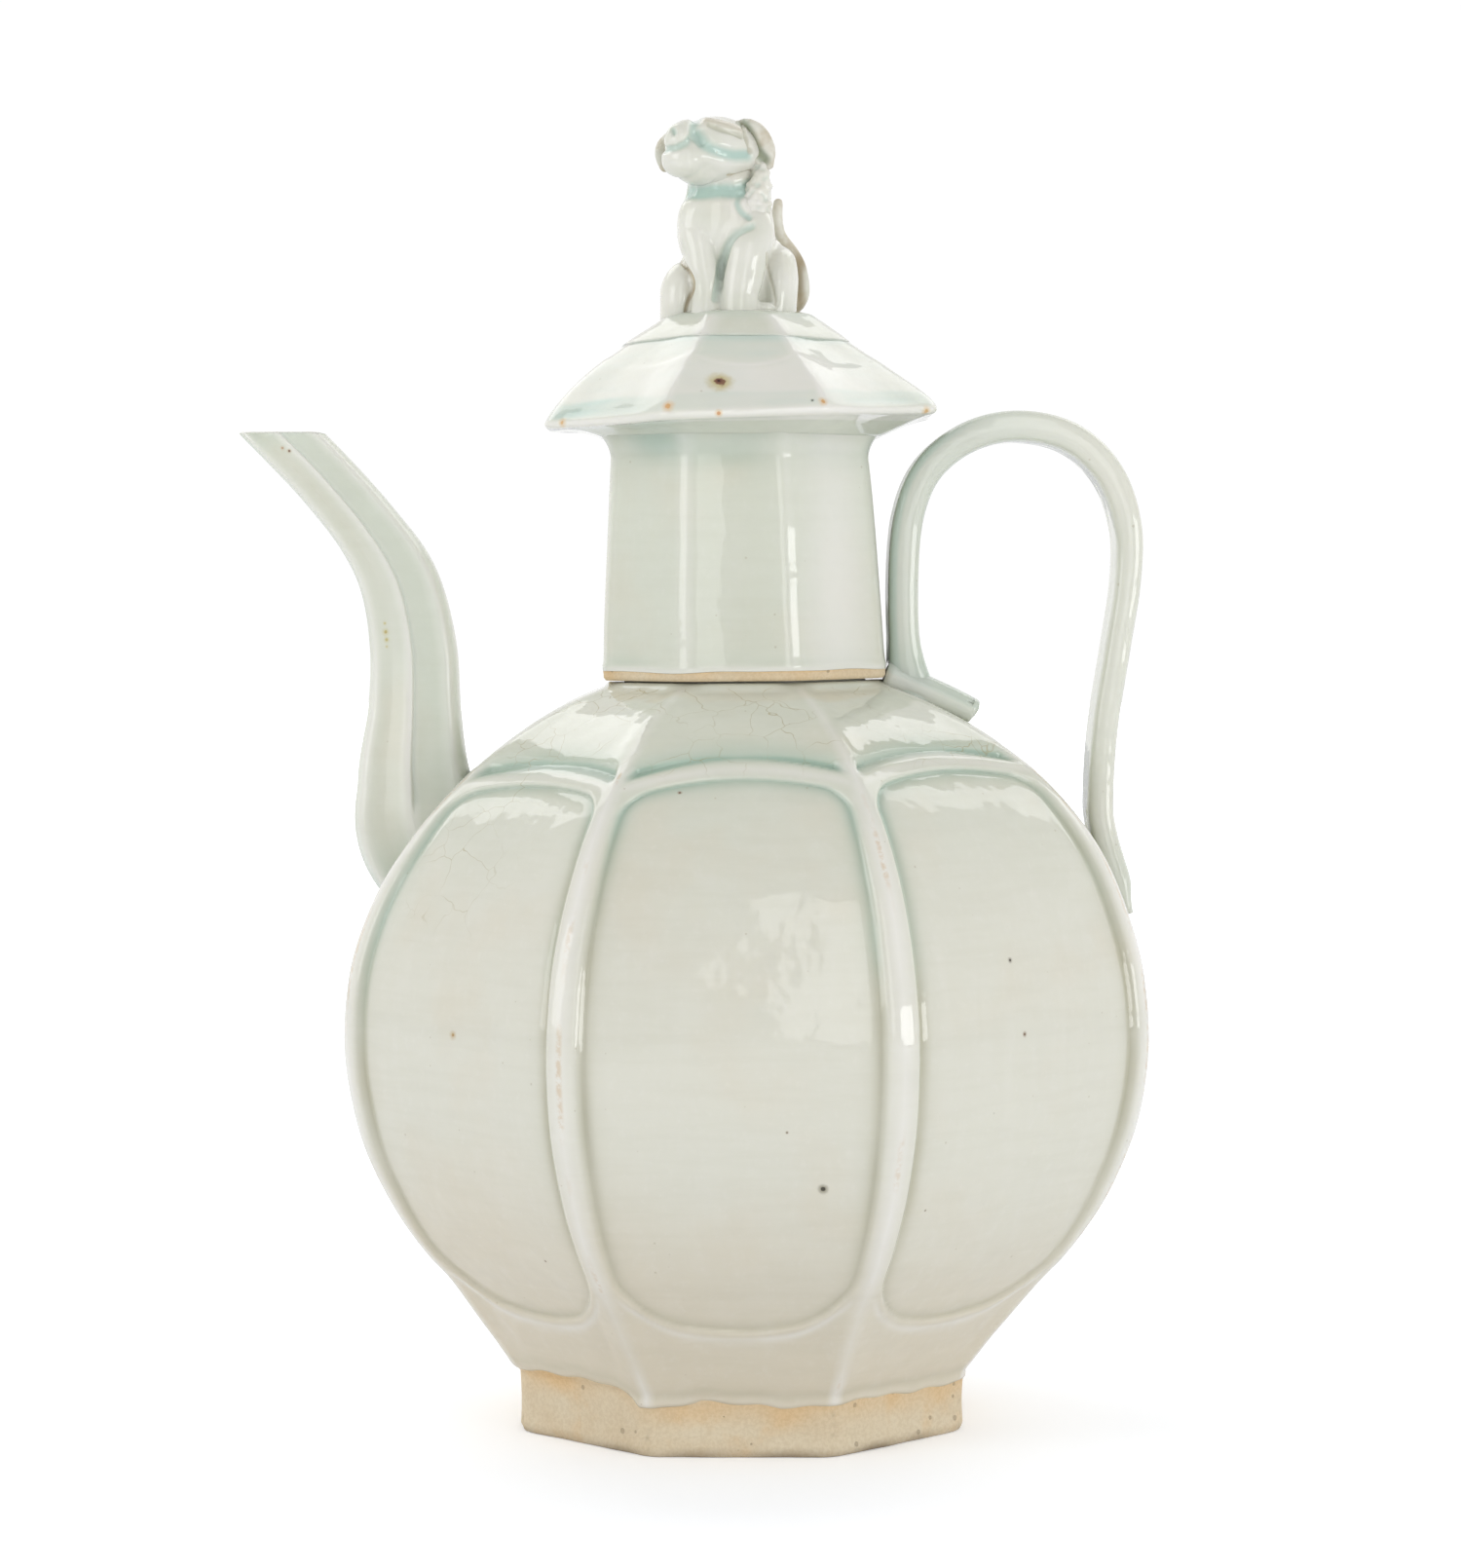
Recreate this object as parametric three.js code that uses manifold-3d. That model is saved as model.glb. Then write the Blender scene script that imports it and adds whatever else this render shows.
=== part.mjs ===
// Eight-sided covered wine ewer in pale celadon porcelain: globular ribbed body, spout, strap
// handle, unglazed foot, and a tall sleeve cover with an eaved roof and a seated lion.
//
// Millimetres, +Z up. The foot stands on z = 0. The pieces are made about the vessel's axis, and
// the whole ewer is then set with its origin midway between the spout's tip and the handle's back.
// The spout points to -X, the handle to +X, and a flat face of the octagon looks to -Y.
// A radius of the octagon is measured to its corners.

import * as THREE from 'three';
import { mergeVertices } from 'three/addons/utils/BufferGeometryUtils.js';
import Module from 'manifold-3d';

const wasm = await Module();
wasm.setup();

// The octagon
const SIDES = 8;
const HALF_STEP = Math.PI / SIDES;
const APOTHEM = Math.cos(HALF_STEP);
const HALF_FACE = Math.sin(HALF_STEP);

// Joints between pieces of the same fired body, and cutting
const LUTE_GAP = 0.3;
const OVERRUN = 4;

// Foot
const FOOT_RADIUS = 43.5;
const FOOT_HEIGHT = 11;
const FOOT_RING_WIDTH = 7;
const FOOT_CHAMFER = 0.9;
const FLOOR_HEIGHT = 7;

// Body
const BODY_RADIUS = 78.1;
const BODY_WIDEST_HEIGHT = 74.5;
const BODY_LOWER_RISE = 68.4;
const BODY_UPPER_RISE = 66.3;
const BODY_WALL = 4;
const BASE_BAND_HEIGHT = 20;
const SEAM_RISE = 8.2;

// Relief of the body: corner ribs, grooves and framed panels
const RIB_WIDTH = 3.4;
const RIB_FLANK = 1.2;
const PANEL_ROLL = 2.2;
const RIB_HEIGHT = 0.9;
const GROOVE_DEPTH = 1.3;
const PANEL_FOOT_DROP = 4;
const PANEL_TOP_DROP = 14.9;
const BAND_WIDTH = 3;

// Cover seat and neck
const SEAT_RISE = 1.2;
const SHOULDER_MARGIN = 0.6;
const SLIDE_CLEARANCE = 1.2;
const NECK_HEIGHT = 37;
const NECK_WALL = 3;
const NECK_LIP = 0.8;

// Cover sleeve
const SLEEVE_RIM_RADIUS = 28.25;
const SLEEVE_WAIST_RADIUS = 25.6;
const SLEEVE_HEIGHT = 43;
const SLEEVE_WALL = 2.8;
const SLEEVE_FLARE = 1;
const FLARE_HEIGHT = 2.6;

// Roof and crown of the cover
const EAVE_RADIUS = 38.7;
const EAVE_EDGE = 1.9;
const EAVE_OVERHANG_RISE = 3;
const ROOF_HEIGHT = 19;
const ROOF_TOP_RADIUS = 21;
const ROOF_WALL = 3.6;
const CROWN_RADIUS = 20.5;
const CROWN_TOP_RADIUS = 14.3;
const CROWN_HEIGHT = 4.3;

// Spout
const SPOUT_ROOT_DROP = 26;
const SPOUT_RISE = 73;
const SPOUT_REACH = 25.2;
const SPOUT_ROOT_DEPTH = 23.5;
const SPOUT_TIP_DEPTH = 11.2;
const SPOUT_FLATNESS_SHARE = 0.88;
const SPOUT_WALL = 2;
const SPOUT_PORT_RADIUS = 6.5;

// Handle
const HANDLE_WIDTH = 18;
const HANDLE_THICKNESS = 5.8;
const HANDLE_LOWER_THICKNESS = 4.8;
const HANDLE_SLEEVE_GAP = 0.7;
const HANDLE_RISE = 50.9;
const HANDLE_OVERREACH = 2.9;
const HANDLE_ROOT_DROP = 40;
const HANDLE_PAD_LENGTH = 11;
const HANDLE_PAD_THICKNESS = 5.4;

// Lion
const LION_HEIGHT = 36.4;

// Height of the shoulder at a corner radius of the body
function shoulderHeight(radius) {
  return BODY_WIDEST_HEIGHT + BODY_UPPER_RISE * Math.sqrt(1 - (radius / BODY_RADIUS) ** 2);
}

// Heights that follow from the sizes above
const WIDEST = BODY_WIDEST_HEIGHT;
const BAND_TOP = FOOT_HEIGHT + BASE_BAND_HEIGHT;
const SEAM = WIDEST + SEAM_RISE;
const SHOULDER_TOP = shoulderHeight(SLEEVE_RIM_RADIUS + SHOULDER_MARGIN);
const SEAT = SHOULDER_TOP + SEAT_RISE;
const COVER_BASE = SEAT + LUTE_GAP;
const ROOF_BASE = SLEEVE_HEIGHT + LUTE_GAP;
const CROWN_BASE = ROOF_BASE + ROOF_HEIGHT + LUTE_GAP;
const LION_BASE = CROWN_BASE + CROWN_HEIGHT + LUTE_GAP;

function finish(name, color, roughness) {
  return new THREE.MeshStandardMaterial({ name, color, roughness, metalness: 0 });
}
const GLAZE = finish('celadon_glaze', 0xd6dacb, 0.2);
const BARE_CLAY = finish('bare_clay', 0xd9c39c, 0.85);
const TOASTED_CLAY = finish('toasted_clay', 0xb7a488, 0.6);

const vec = (x, y, z) => new THREE.Vector3(x, y, z);
const mix = THREE.MathUtils.lerp;

// Closed solid through a list of rings, each with the same number of points, with fanned ends
function loft(rings) {
  const count = rings[0].length;
  const centre = (ring) => ring.reduce((sum, p) => sum.add(p), vec(0, 0, 0)).divideScalar(count);
  const points = [...rings.flat(), centre(rings[0]), centre(rings[rings.length - 1])];
  const index = [];
  for (let r = 0; r < rings.length - 1; r++) {
    for (let i = 0; i < count; i++) {
      const a = r * count + i;
      const b = r * count + (i + 1) % count;
      index.push(a, b, b + count, a, b + count, a + count);
    }
  }
  const last = (rings.length - 1) * count;
  for (let i = 0; i < count; i++) {
    const next = (i + 1) % count;
    index.push(next, i, points.length - 2);
    index.push(last + i, last + next, points.length - 1);
  }
  const geometry = new THREE.BufferGeometry().setFromPoints(points);
  geometry.setIndex(index);
  return geometry;
}

// Six times the signed volume of a closed mesh: negative when its faces point inwards
function signedVolume(positions, index) {
  const corner = (i) => vec(...positions.slice(3 * index[i], 3 * index[i] + 3));
  let sum = 0;
  for (let i = 0; i < index.length; i += 3) {
    sum += corner(i).dot(corner(i + 1).cross(corner(i + 2)));
  }
  return sum;
}

// Solid of a closed geometry, with shared vertices merged and faces turned outwards
function solid(geometry) {
  geometry.deleteAttribute('normal');
  geometry.deleteAttribute('uv');
  const merged = mergeVertices(geometry);
  const vertProperties = merged.attributes.position.array;
  const triVerts = new Uint32Array(merged.index.array);
  if (signedVolume(Array.from(vertProperties), triVerts) < 0) {
    triVerts.reverse();
  }
  return new wasm.Manifold(new wasm.Mesh({ numProp: 3, vertProperties, triVerts }));
}

// Named mesh of a solid
function piece(name, shape, material) {
  const { vertProperties, triVerts } = shape.getMesh();
  const geometry = new THREE.BufferGeometry();
  geometry.setAttribute('position', new THREE.BufferAttribute(vertProperties, 3));
  geometry.setIndex(new THREE.BufferAttribute(triVerts, 1));
  geometry.computeVertexNormals();
  const mesh = new THREE.Mesh(geometry, material);
  mesh.name = name;
  return mesh;
}

// Octagonal ring of a corner radius at a height
function octagon(radius, height) {
  const corner = (i) => {
    const angle = (2 * i + 1) * HALF_STEP;
    return vec(radius * Math.cos(angle), radius * Math.sin(angle), height);
  };
  return Array.from({ length: SIDES }, (_, i) => corner(i));
}

// Solid octagonal loft through [corner radius, height] pairs, from the lowest to the highest
const prism = (profile) => solid(loft(profile.map(([radius, height]) => octagon(radius, height))));

// Values spread evenly between two ends, both included
function evenly(from, to, count) {
  return Array.from({ length: count }, (_, i) => mix(from, to, i / (count - 1)));
}

// Corner radius of the body at a height: a straight cone above the foot, then two half ellipses
function ovalRadius(height, radius, lowerRise, upperRise) {
  const rise = height < WIDEST ? lowerRise : upperRise;
  return radius * Math.sqrt(Math.max(0, 1 - ((height - WIDEST) / rise) ** 2));
}
const outerOval = (height) => ovalRadius(height, BODY_RADIUS, BODY_LOWER_RISE, BODY_UPPER_RISE);

function bodyRadius(height) {
  const share = (height - FOOT_HEIGHT) / BASE_BAND_HEIGHT;
  return share < 1 ? mix(FOOT_RADIUS, outerOval(BAND_TOP), share) : outerOval(height);
}

function cavityRadius(height) {
  const inside = ovalRadius(
    height, BODY_RADIUS - BODY_WALL, BODY_LOWER_RISE - BODY_WALL, BODY_UPPER_RISE - BODY_WALL);
  return Math.min(inside, bodyRadius(height) - BODY_WALL);
}

// One level of the body's outside. panel is how far the panels are sunk there, from 0 to 1, and
// groove how deep a groove runs across the faces.
function bodyRing({ height, panel, groove }, grow) {
  const radius = bodyRadius(height);
  const half = radius * HALF_FACE;
  const edges = [
    { in: 0, sink: 0 },
    { in: RIB_WIDTH, sink: panel * RIB_HEIGHT / 2 + groove * GROOVE_DEPTH / 2 },
    { in: RIB_WIDTH + RIB_FLANK, sink: panel * GROOVE_DEPTH + groove * GROOVE_DEPTH },
    { in: RIB_WIDTH + RIB_FLANK + PANEL_ROLL, sink: panel * RIB_HEIGHT + groove * GROOVE_DEPTH },
    { in: half, sink: panel * RIB_HEIGHT / 2 + groove * GROOVE_DEPTH },
  ];
  const mirrored = edges.slice(1, -1).reverse().map((edge) => ({ ...edge, in: 2 * half - edge.in }));
  const ring = [];
  for (let side = 0; side < SIDES; side++) {
    const middle = (2 * side + 2) * HALF_STEP;
    for (const edge of [...edges, ...mirrored]) {
      const along = edge.in - half;
      const out = radius * APOTHEM - edge.sink + grow;
      ring.push(vec(
        out * Math.cos(middle) - along * Math.sin(middle),
        out * Math.sin(middle) + along * Math.cos(middle),
        height));
    }
  }
  return ring;
}

const plain = (height) => ({ height, panel: 0, groove: 0 });
const sunk = (height) => ({ height, panel: 1, groove: 0 });
const grooved = (height) => ({ height, panel: 0, groove: 1 });

const PANEL_FOOT = BAND_TOP - PANEL_FOOT_DROP;
const PANEL_TOP = SHOULDER_TOP - PANEL_TOP_DROP;
const LOWER_LEVELS = [
  plain(FOOT_HEIGHT + LUTE_GAP),
  plain(PANEL_FOOT - PANEL_ROLL),
  grooved(PANEL_FOOT),
  ...evenly(PANEL_FOOT + PANEL_ROLL, SEAM, 9).map(sunk),
];
const UPPER_LEVELS = [
  ...evenly(SEAM + LUTE_GAP, PANEL_TOP - PANEL_ROLL, 7).map(sunk),
  grooved(PANEL_TOP),
  plain(PANEL_TOP + BAND_WIDTH / 2),
  grooved(PANEL_TOP + BAND_WIDTH),
  ...evenly(PANEL_TOP + BAND_WIDTH + PANEL_ROLL, SHOULDER_TOP, 4).map(plain),
];

// The body's whole outside grown by a gap, for cutting what is luted onto it
function bodyCutter() {
  const levels = [...LOWER_LEVELS, ...UPPER_LEVELS];
  return solid(loft(levels.map((level) => bodyRing(level, LUTE_GAP))));
}

const NECK_RADIUS = SLEEVE_RIM_RADIUS - SLEEVE_WALL - SLIDE_CLEARANCE;
const NECK_BORE = NECK_RADIUS - NECK_WALL;

// Vessel cavity between two heights
const cavity = (from, to, steps) => prism(evenly(from, to, steps).map((h) => [cavityRadius(h), h]));

function footRing() {
  const inside = FOOT_RADIUS - FOOT_RING_WIDTH;
  const outside = [
    [FOOT_RADIUS - FOOT_CHAMFER, 0],
    [FOOT_RADIUS, FOOT_CHAMFER],
    [FOOT_RADIUS, FOOT_HEIGHT],
  ];
  return prism(outside).subtract(prism([[inside, -OVERRUN], [inside, FOOT_HEIGHT + OVERRUN]]));
}

function bodyLower() {
  const bossRadius = FOOT_RADIUS - FOOT_RING_WIDTH - LUTE_GAP;
  const bossTop = FOOT_HEIGHT + LUTE_GAP + BODY_WALL;
  const shell = solid(loft(LOWER_LEVELS.map((level) => bodyRing(level, 0))));
  const boss = prism([[bossRadius, FLOOR_HEIGHT], [bossRadius, bossTop]]);
  const well = bossRadius - BODY_WALL;
  const hollow = cavity(bossTop, SEAM + LUTE_GAP / 2, 10);
  const pit = prism([[well, FLOOR_HEIGHT + BODY_WALL], [well, bossTop + LUTE_GAP]]);
  return shell.add(boss).subtract(hollow).subtract(pit);
}

function bodyUpper(spoutPort) {
  const shell = solid(loft(UPPER_LEVELS.map((level) => bodyRing(level, 0))));
  const seatRadius = SLEEVE_RIM_RADIUS - SLEEVE_WALL / 2;
  const seat = prism([[seatRadius, SHOULDER_TOP - SEAT_RISE], [seatRadius, SEAT]]);
  const mouthShare = NECK_BORE / (BODY_RADIUS - BODY_WALL);
  const ceiling = WIDEST + (BODY_UPPER_RISE - BODY_WALL) * Math.sqrt(1 - mouthShare ** 2);
  const hollow = cavity(SEAM + LUTE_GAP / 2, ceiling, 10);
  const bore = prism([[NECK_BORE, ceiling - BODY_WALL], [NECK_BORE, SEAT + OVERRUN]]);
  return shell.add(seat).subtract(hollow).subtract(bore).subtract(spoutPort);
}

// The sleeve's outside: it draws in from its rim to a waist, and more so the higher it is
const SLEEVE_BOW_SHARE = 1.5;

function sleeveRadius(height) {
  const share = THREE.MathUtils.clamp(height / (SLEEVE_HEIGHT - FLARE_HEIGHT), 0, 1);
  return mix(SLEEVE_RIM_RADIUS, SLEEVE_WAIST_RADIUS, share ** SLEEVE_BOW_SHARE);
}

function neck() {
  const levels = evenly(0, NECK_HEIGHT, 6);
  const taper = (height) => sleeveRadius(height) - SLEEVE_WALL - SLIDE_CLEARANCE;
  const outside = levels.map((h) => [taper(h) - NECK_LIP, h]);
  outside[0][0] = taper(0);
  outside[levels.length - 1][0] = taper(NECK_HEIGHT);
  const bore = levels.map((h) => [taper(h) - NECK_WALL, h]);
  bore[0][1] = -OVERRUN;
  bore[levels.length - 1][1] = NECK_HEIGHT + OVERRUN;
  return prism(outside).subtract(prism(bore));
}

function coverSleeve() {
  const levels = evenly(0, SLEEVE_HEIGHT - FLARE_HEIGHT, 7);
  const outside = levels.map((h) => [sleeveRadius(h), h]);
  outside.push([SLEEVE_WAIST_RADIUS + SLEEVE_FLARE, SLEEVE_HEIGHT]);
  const bore = levels.map((h) => [sleeveRadius(h) - SLEEVE_WALL, h]);
  bore[0][1] = -OVERRUN;
  bore[0][0] += bore[0][0] - bore[1][0];
  bore.push([SLEEVE_WAIST_RADIUS - SLEEVE_WALL, SLEEVE_HEIGHT + OVERRUN]);
  return prism(outside).subtract(prism(bore));
}

// Corner radius of the roof's upper face at a share of its rise: it flattens towards the top
const ROOF_BOW_SHARE = 1.25;
const roofRadius = (share) => mix(EAVE_RADIUS, ROOF_TOP_RADIUS, share ** ROOF_BOW_SHARE);

function coverRoof() {
  const eaveTop = EAVE_OVERHANG_RISE + EAVE_EDGE;
  const shares = evenly(0, 1, 8);
  const outside = [
    [SLEEVE_WAIST_RADIUS + SLEEVE_FLARE, 0],
    [EAVE_RADIUS - EAVE_EDGE / 2, EAVE_OVERHANG_RISE],
    ...shares.map((s) => [roofRadius(s), mix(eaveTop, ROOF_HEIGHT, s)]),
  ];
  const mouth = SLEEVE_WAIST_RADIUS - SLEEVE_WALL;
  const inside = shares.filter((s) => roofRadius(s) - 2 * ROOF_WALL < mouth);
  const hollow = [
    [mouth, -OVERRUN],
    [mouth, eaveTop],
    ...inside.map((s) => [roofRadius(s) - 2 * ROOF_WALL, mix(eaveTop, ROOF_HEIGHT, s)]),
  ];
  hollow.push([hollow[hollow.length - 1][0], ROOF_HEIGHT + OVERRUN]);
  return prism(outside).subtract(prism(hollow));
}

const CROWN_BOW_SHARE = 1.15;

function roofCrown() {
  const radius = (share) => mix(CROWN_RADIUS, CROWN_TOP_RADIUS, share ** CROWN_BOW_SHARE);
  return prism(evenly(0, 1, 4).map((share) => [radius(share), share * CROWN_HEIGHT]));
}

// Sweep along stations { at, wide, deep }. Every section lies across the path, wide along the
// given side vector and deep across it, and section lists its points as [side, depth] shares.
function sweep(stations, side, section) {
  const rings = stations.map((station, i) => {
    const before = stations[Math.max(i - 1, 0)].at;
    const after = stations[Math.min(i + 1, stations.length - 1)].at;
    const ahead = (station.ahead ?? after.clone().sub(before)).clone().normalize();
    const across = side.clone().addScaledVector(ahead, -side.dot(ahead)).normalize();
    const up = across.clone().cross(ahead);
    return section.map(([s, d]) => station.at.clone()
      .addScaledVector(across, s * station.wide).addScaledVector(up, d * station.deep));
  });
  return solid(loft(rings));
}

const SIDEWAYS = vec(0, 1, 0);
const roundSection = (count) => Array.from({ length: count }, (_, i) => {
  const angle = 2 * Math.PI * (i + 0.5) / count;
  return [Math.cos(angle), Math.sin(angle)];
});

// Points of a smooth curve through a list of places
function curve(places, count) {
  return new THREE.CatmullRomCurve3(places, false, 'centripetal').getPoints(count);
}

// Spout: its spine as [reach, rise] shares from the root on the body's face, and how far the
// thickness there is from the tip's to the root's
const SPOUT_SPINE_SHARES = [
  [-0.62, -0.22, 1], [-0.07, -0.04, 1], [0.02, 0.12, 0.8], [-0.005, 0.3, 0.5], [-0.01, 0.46, 0.39],
  [0.09, 0.62, 0.3], [0.32, 0.75, 0.17], [0.66, 0.885, 0.06], [1, 1, 0],
];

function spoutStations(shrink, overrun) {
  const rootHeight = SHOULDER_TOP - SPOUT_ROOT_DROP;
  const rootFace = bodyRadius(rootHeight) * APOTHEM;
  const places = SPOUT_SPINE_SHARES.map(([reach, rise]) =>
    vec(-rootFace - reach * SPOUT_REACH, 0, rootHeight + rise * SPOUT_RISE));
  const steps = 3 * (places.length - 1);
  const points = curve(places, steps);
  const stations = points.map((at, i) => {
    const spot = i / steps * (places.length - 1);
    const low = Math.min(Math.floor(spot), places.length - 2);
    const thick = mix(SPOUT_SPINE_SHARES[low][2], SPOUT_SPINE_SHARES[low + 1][2], spot - low);
    const deep = mix(SPOUT_TIP_DEPTH, SPOUT_ROOT_DEPTH, thick) / 2;
    return { at, deep: deep - shrink, wide: deep * SPOUT_FLATNESS_SHARE - shrink };
  });
  if (overrun) {
    const tip = stations[stations.length - 1];
    const ahead = tip.at.clone().sub(stations[stations.length - 2].at).normalize();
    stations.push({ ...tip, at: tip.at.clone().addScaledVector(ahead, SPOUT_TIP_DEPTH) });
  }
  return stations;
}

// Faceted section of the spout, as [sideways, outwards] shares, with its ridges nearer the outside
const SPOUT_SECTION_SHARES = [
  [1, 0.12], [0.86, 0.66], [0.36, 1], [-0.36, 1], [-0.86, 0.66], [-1, 0.12],
  [-0.92, -0.52], [-0.42, -1], [0.42, -1], [0.92, -0.52],
];

function spout(cutter) {
  const tube = sweep(spoutStations(0, true), SIDEWAYS, SPOUT_SECTION_SHARES);
  const bore = sweep(spoutStations(SPOUT_WALL, true), SIDEWAYS, roundSection(10));
  const lipHeight = SHOULDER_TOP - SPOUT_ROOT_DROP + SPOUT_RISE;
  const reach = BODY_RADIUS + SPOUT_REACH + SPOUT_ROOT_DEPTH;
  const above = new THREE.BoxGeometry(reach, SPOUT_ROOT_DEPTH + OVERRUN, SPOUT_RISE);
  above.translate(-reach, 0, lipHeight + SPOUT_RISE / 2);
  return tube.subtract(bore).subtract(cutter).subtract(solid(above));
}

// Round port through the body's wall behind the spout, along the first steps of the spout's spine
const PORT_STEPS = 7;

function spoutPort() {
  const root = spoutStations(SPOUT_WALL, false).slice(0, PORT_STEPS);
  const stations = root.map(({ at }) => ({ at, wide: SPOUT_PORT_RADIUS, deep: SPOUT_PORT_RADIUS }));
  return sweep(stations, SIDEWAYS, roundSection(12));
}

// Strap section with soft edges and a shallow groove down the outside
const STRAP_SECTION_SHARES = [
  [1, 0.5], [0.9, 1], [0.3, 0.92], [-0.3, 0.92], [-0.9, 1], [-1, 0.5],
  [-1, -0.5], [-0.9, -1], [0.9, -1], [1, -0.5],
];

// Handle: loop centre line as [span, rise] shares between its limbs and its top
const HANDLE_LOOP_SHARES = [
  [0.0, 0.1], [-0.015, 0.4], [0.01, 0.66], [0.1, 0.84], [0.28, 0.96], [0.5, 1], [0.73, 0.955],
  [0.9, 0.82], [0.985, 0.62], [0.985, 0.4], [0.94, 0.14], [0.89, -0.14], [0.87, -0.4], [0.885, -0.56],
];

// How much the strap widens at its lower root, and between which shares of its length it widens
// and thins
const HANDLE_STEPS = 40;
const HANDLE_FLARE_SHARE = 1.12;
const HANDLE_WIDENING_SHARES = [0.85, 1];
const HANDLE_THINNING_SHARES = [0.4, 0.7];

function handle(cutter) {
  const { smoothstep } = THREE.MathUtils;
  const nearLimb = SLEEVE_RIM_RADIUS * APOTHEM + HANDLE_SLEEVE_GAP + HANDLE_THICKNESS / 2;
  const top = HANDLE_RISE - HANDLE_THICKNESS / 2;
  const rootHeight = SHOULDER_TOP - HANDLE_ROOT_DROP;
  const root = bodyRadius(rootHeight) * APOTHEM;
  const loopSpan = root + HANDLE_OVERREACH - nearLimb;
  const places = HANDLE_LOOP_SHARES.map(([span, rise]) =>
    vec(nearLimb + span * loopSpan, 0, SHOULDER_TOP + rise * top));
  places.unshift(vec(nearLimb + HANDLE_THICKNESS / 2, 0, SHOULDER_TOP - HANDLE_THICKNESS));
  places.push(vec(root + HANDLE_THICKNESS / 4, 0, rootHeight));
  const stations = curve(places, HANDLE_STEPS).map((at, i) => {
    const widening = smoothstep(i / HANDLE_STEPS, ...HANDLE_WIDENING_SHARES);
    const thinning = smoothstep(i / HANDLE_STEPS, ...HANDLE_THINNING_SHARES);
    const thickness = mix(HANDLE_THICKNESS, HANDLE_LOWER_THICKNESS, thinning);
    return { at, wide: HANDLE_WIDTH / 2 * mix(1, HANDLE_FLARE_SHARE, widening), deep: thickness / 2 };
  });
  stations[stations.length - 1].deep = HANDLE_LOWER_THICKNESS / 6;
  const strap = sweep(stations, SIDEWAYS, STRAP_SECTION_SHARES);
  return strap.add(handlePad(nearLimb)).subtract(cutter);
}

// The strap's end, turned outwards and pressed flat on the shoulder
function handlePad(nearLimb) {
  const padHeight = (x) => shoulderHeight(x / APOTHEM) + HANDLE_PAD_THICKNESS / 2 - LUTE_GAP;
  const runs = [0, HANDLE_PAD_LENGTH / 2, HANDLE_PAD_LENGTH, HANDLE_PAD_LENGTH + HANDLE_THICKNESS / 4];
  const stations = runs.map((run) => ({
    at: vec(nearLimb + run, 0, padHeight(nearLimb + run)),
    wide: HANDLE_WIDTH / 2,
    deep: HANDLE_PAD_THICKNESS / 2 + LUTE_GAP,
  }));
  return sweep(stations, SIDEWAYS, STRAP_SECTION_SHARES);
}

// Lion pieces are tables of stations, in shares of the lion's height: x, y, z, half width, half
// depth. It sits facing the front, and its head is turned towards the spout, a share of a full turn.
const HEAD_TURN_SHARE = -1 / 9;

function limb(rows, side, grow, count = 10) {
  const stations = rows.map(([x, y, z, wide, deep]) => ({
    at: vec(x, y, z).multiplyScalar(LION_HEIGHT),
    wide: wide * LION_HEIGHT + grow,
    deep: deep * LION_HEIGHT + grow,
  }));
  if (grow > 0) {
    const first = stations[0].at.clone().sub(stations[1].at).setLength(grow);
    const end = stations[stations.length - 1];
    const last = end.at.clone().sub(stations[stations.length - 2].at).setLength(grow);
    stations[0].at.add(first);
    end.at.add(last);
  }
  return sweep(stations, side, roundSection(count));
}

const ACROSS = vec(1, 0, 0);
const TORSO_SHARES = [
  [0.0, 0.05, -0.02, 0.2, 0.22], [-0.01, 0.05, 0.15, 0.21, 0.23], [-0.07, 0.01, 0.31, 0.235, 0.23],
  [-0.1, -0.03, 0.43, 0.25, 0.215], [-0.1, -0.03, 0.54, 0.24, 0.19], [-0.1, -0.02, 0.63, 0.21, 0.17],
  [-0.11, -0.02, 0.7, 0.185, 0.155], [-0.12, -0.02, 0.76, 0.16, 0.13],
];
const LEFT_FORELEG_SHARES = [
  [-0.25, -0.1, 0.48, 0.05, 0.05], [-0.255, -0.15, 0.4, 0.085, 0.085], [-0.235, -0.18, 0.28, 0.082, 0.082],
  [-0.215, -0.195, 0.16, 0.076, 0.076], [-0.208, -0.2, 0.07, 0.076, 0.082],
  [-0.205, -0.205, -0.02, 0.082, 0.09],
];
const RIGHT_FORELEG_SHARES = [
  [0.06, -0.13, 0.5, 0.06, 0.05], [0.04, -0.17, 0.42, 0.1, 0.085], [0.01, -0.21, 0.3, 0.108, 0.09],
  [-0.015, -0.225, 0.16, 0.1, 0.085], [-0.028, -0.23, 0.07, 0.092, 0.085],
  [-0.03, -0.235, -0.02, 0.092, 0.09],
];
const LEFT_HAUNCH_SHARES = [
  [-0.285, -0.02, 0.27, 0.03, 0.05], [-0.305, -0.04, 0.22, 0.07, 0.11], [-0.325, -0.06, 0.14, 0.09, 0.14],
  [-0.33, -0.065, 0.06, 0.092, 0.14], [-0.33, -0.065, -0.02, 0.088, 0.13],
];
const RIGHT_HAUNCH_SHARES = [
  [0.13, 0.05, 0.36, 0.04, 0.06], [0.155, 0.04, 0.3, 0.09, 0.14], [0.17, 0.02, 0.21, 0.102, 0.18],
  [0.17, 0.0, 0.1, 0.1, 0.19], [0.165, -0.01, -0.02, 0.092, 0.18],
];
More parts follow.
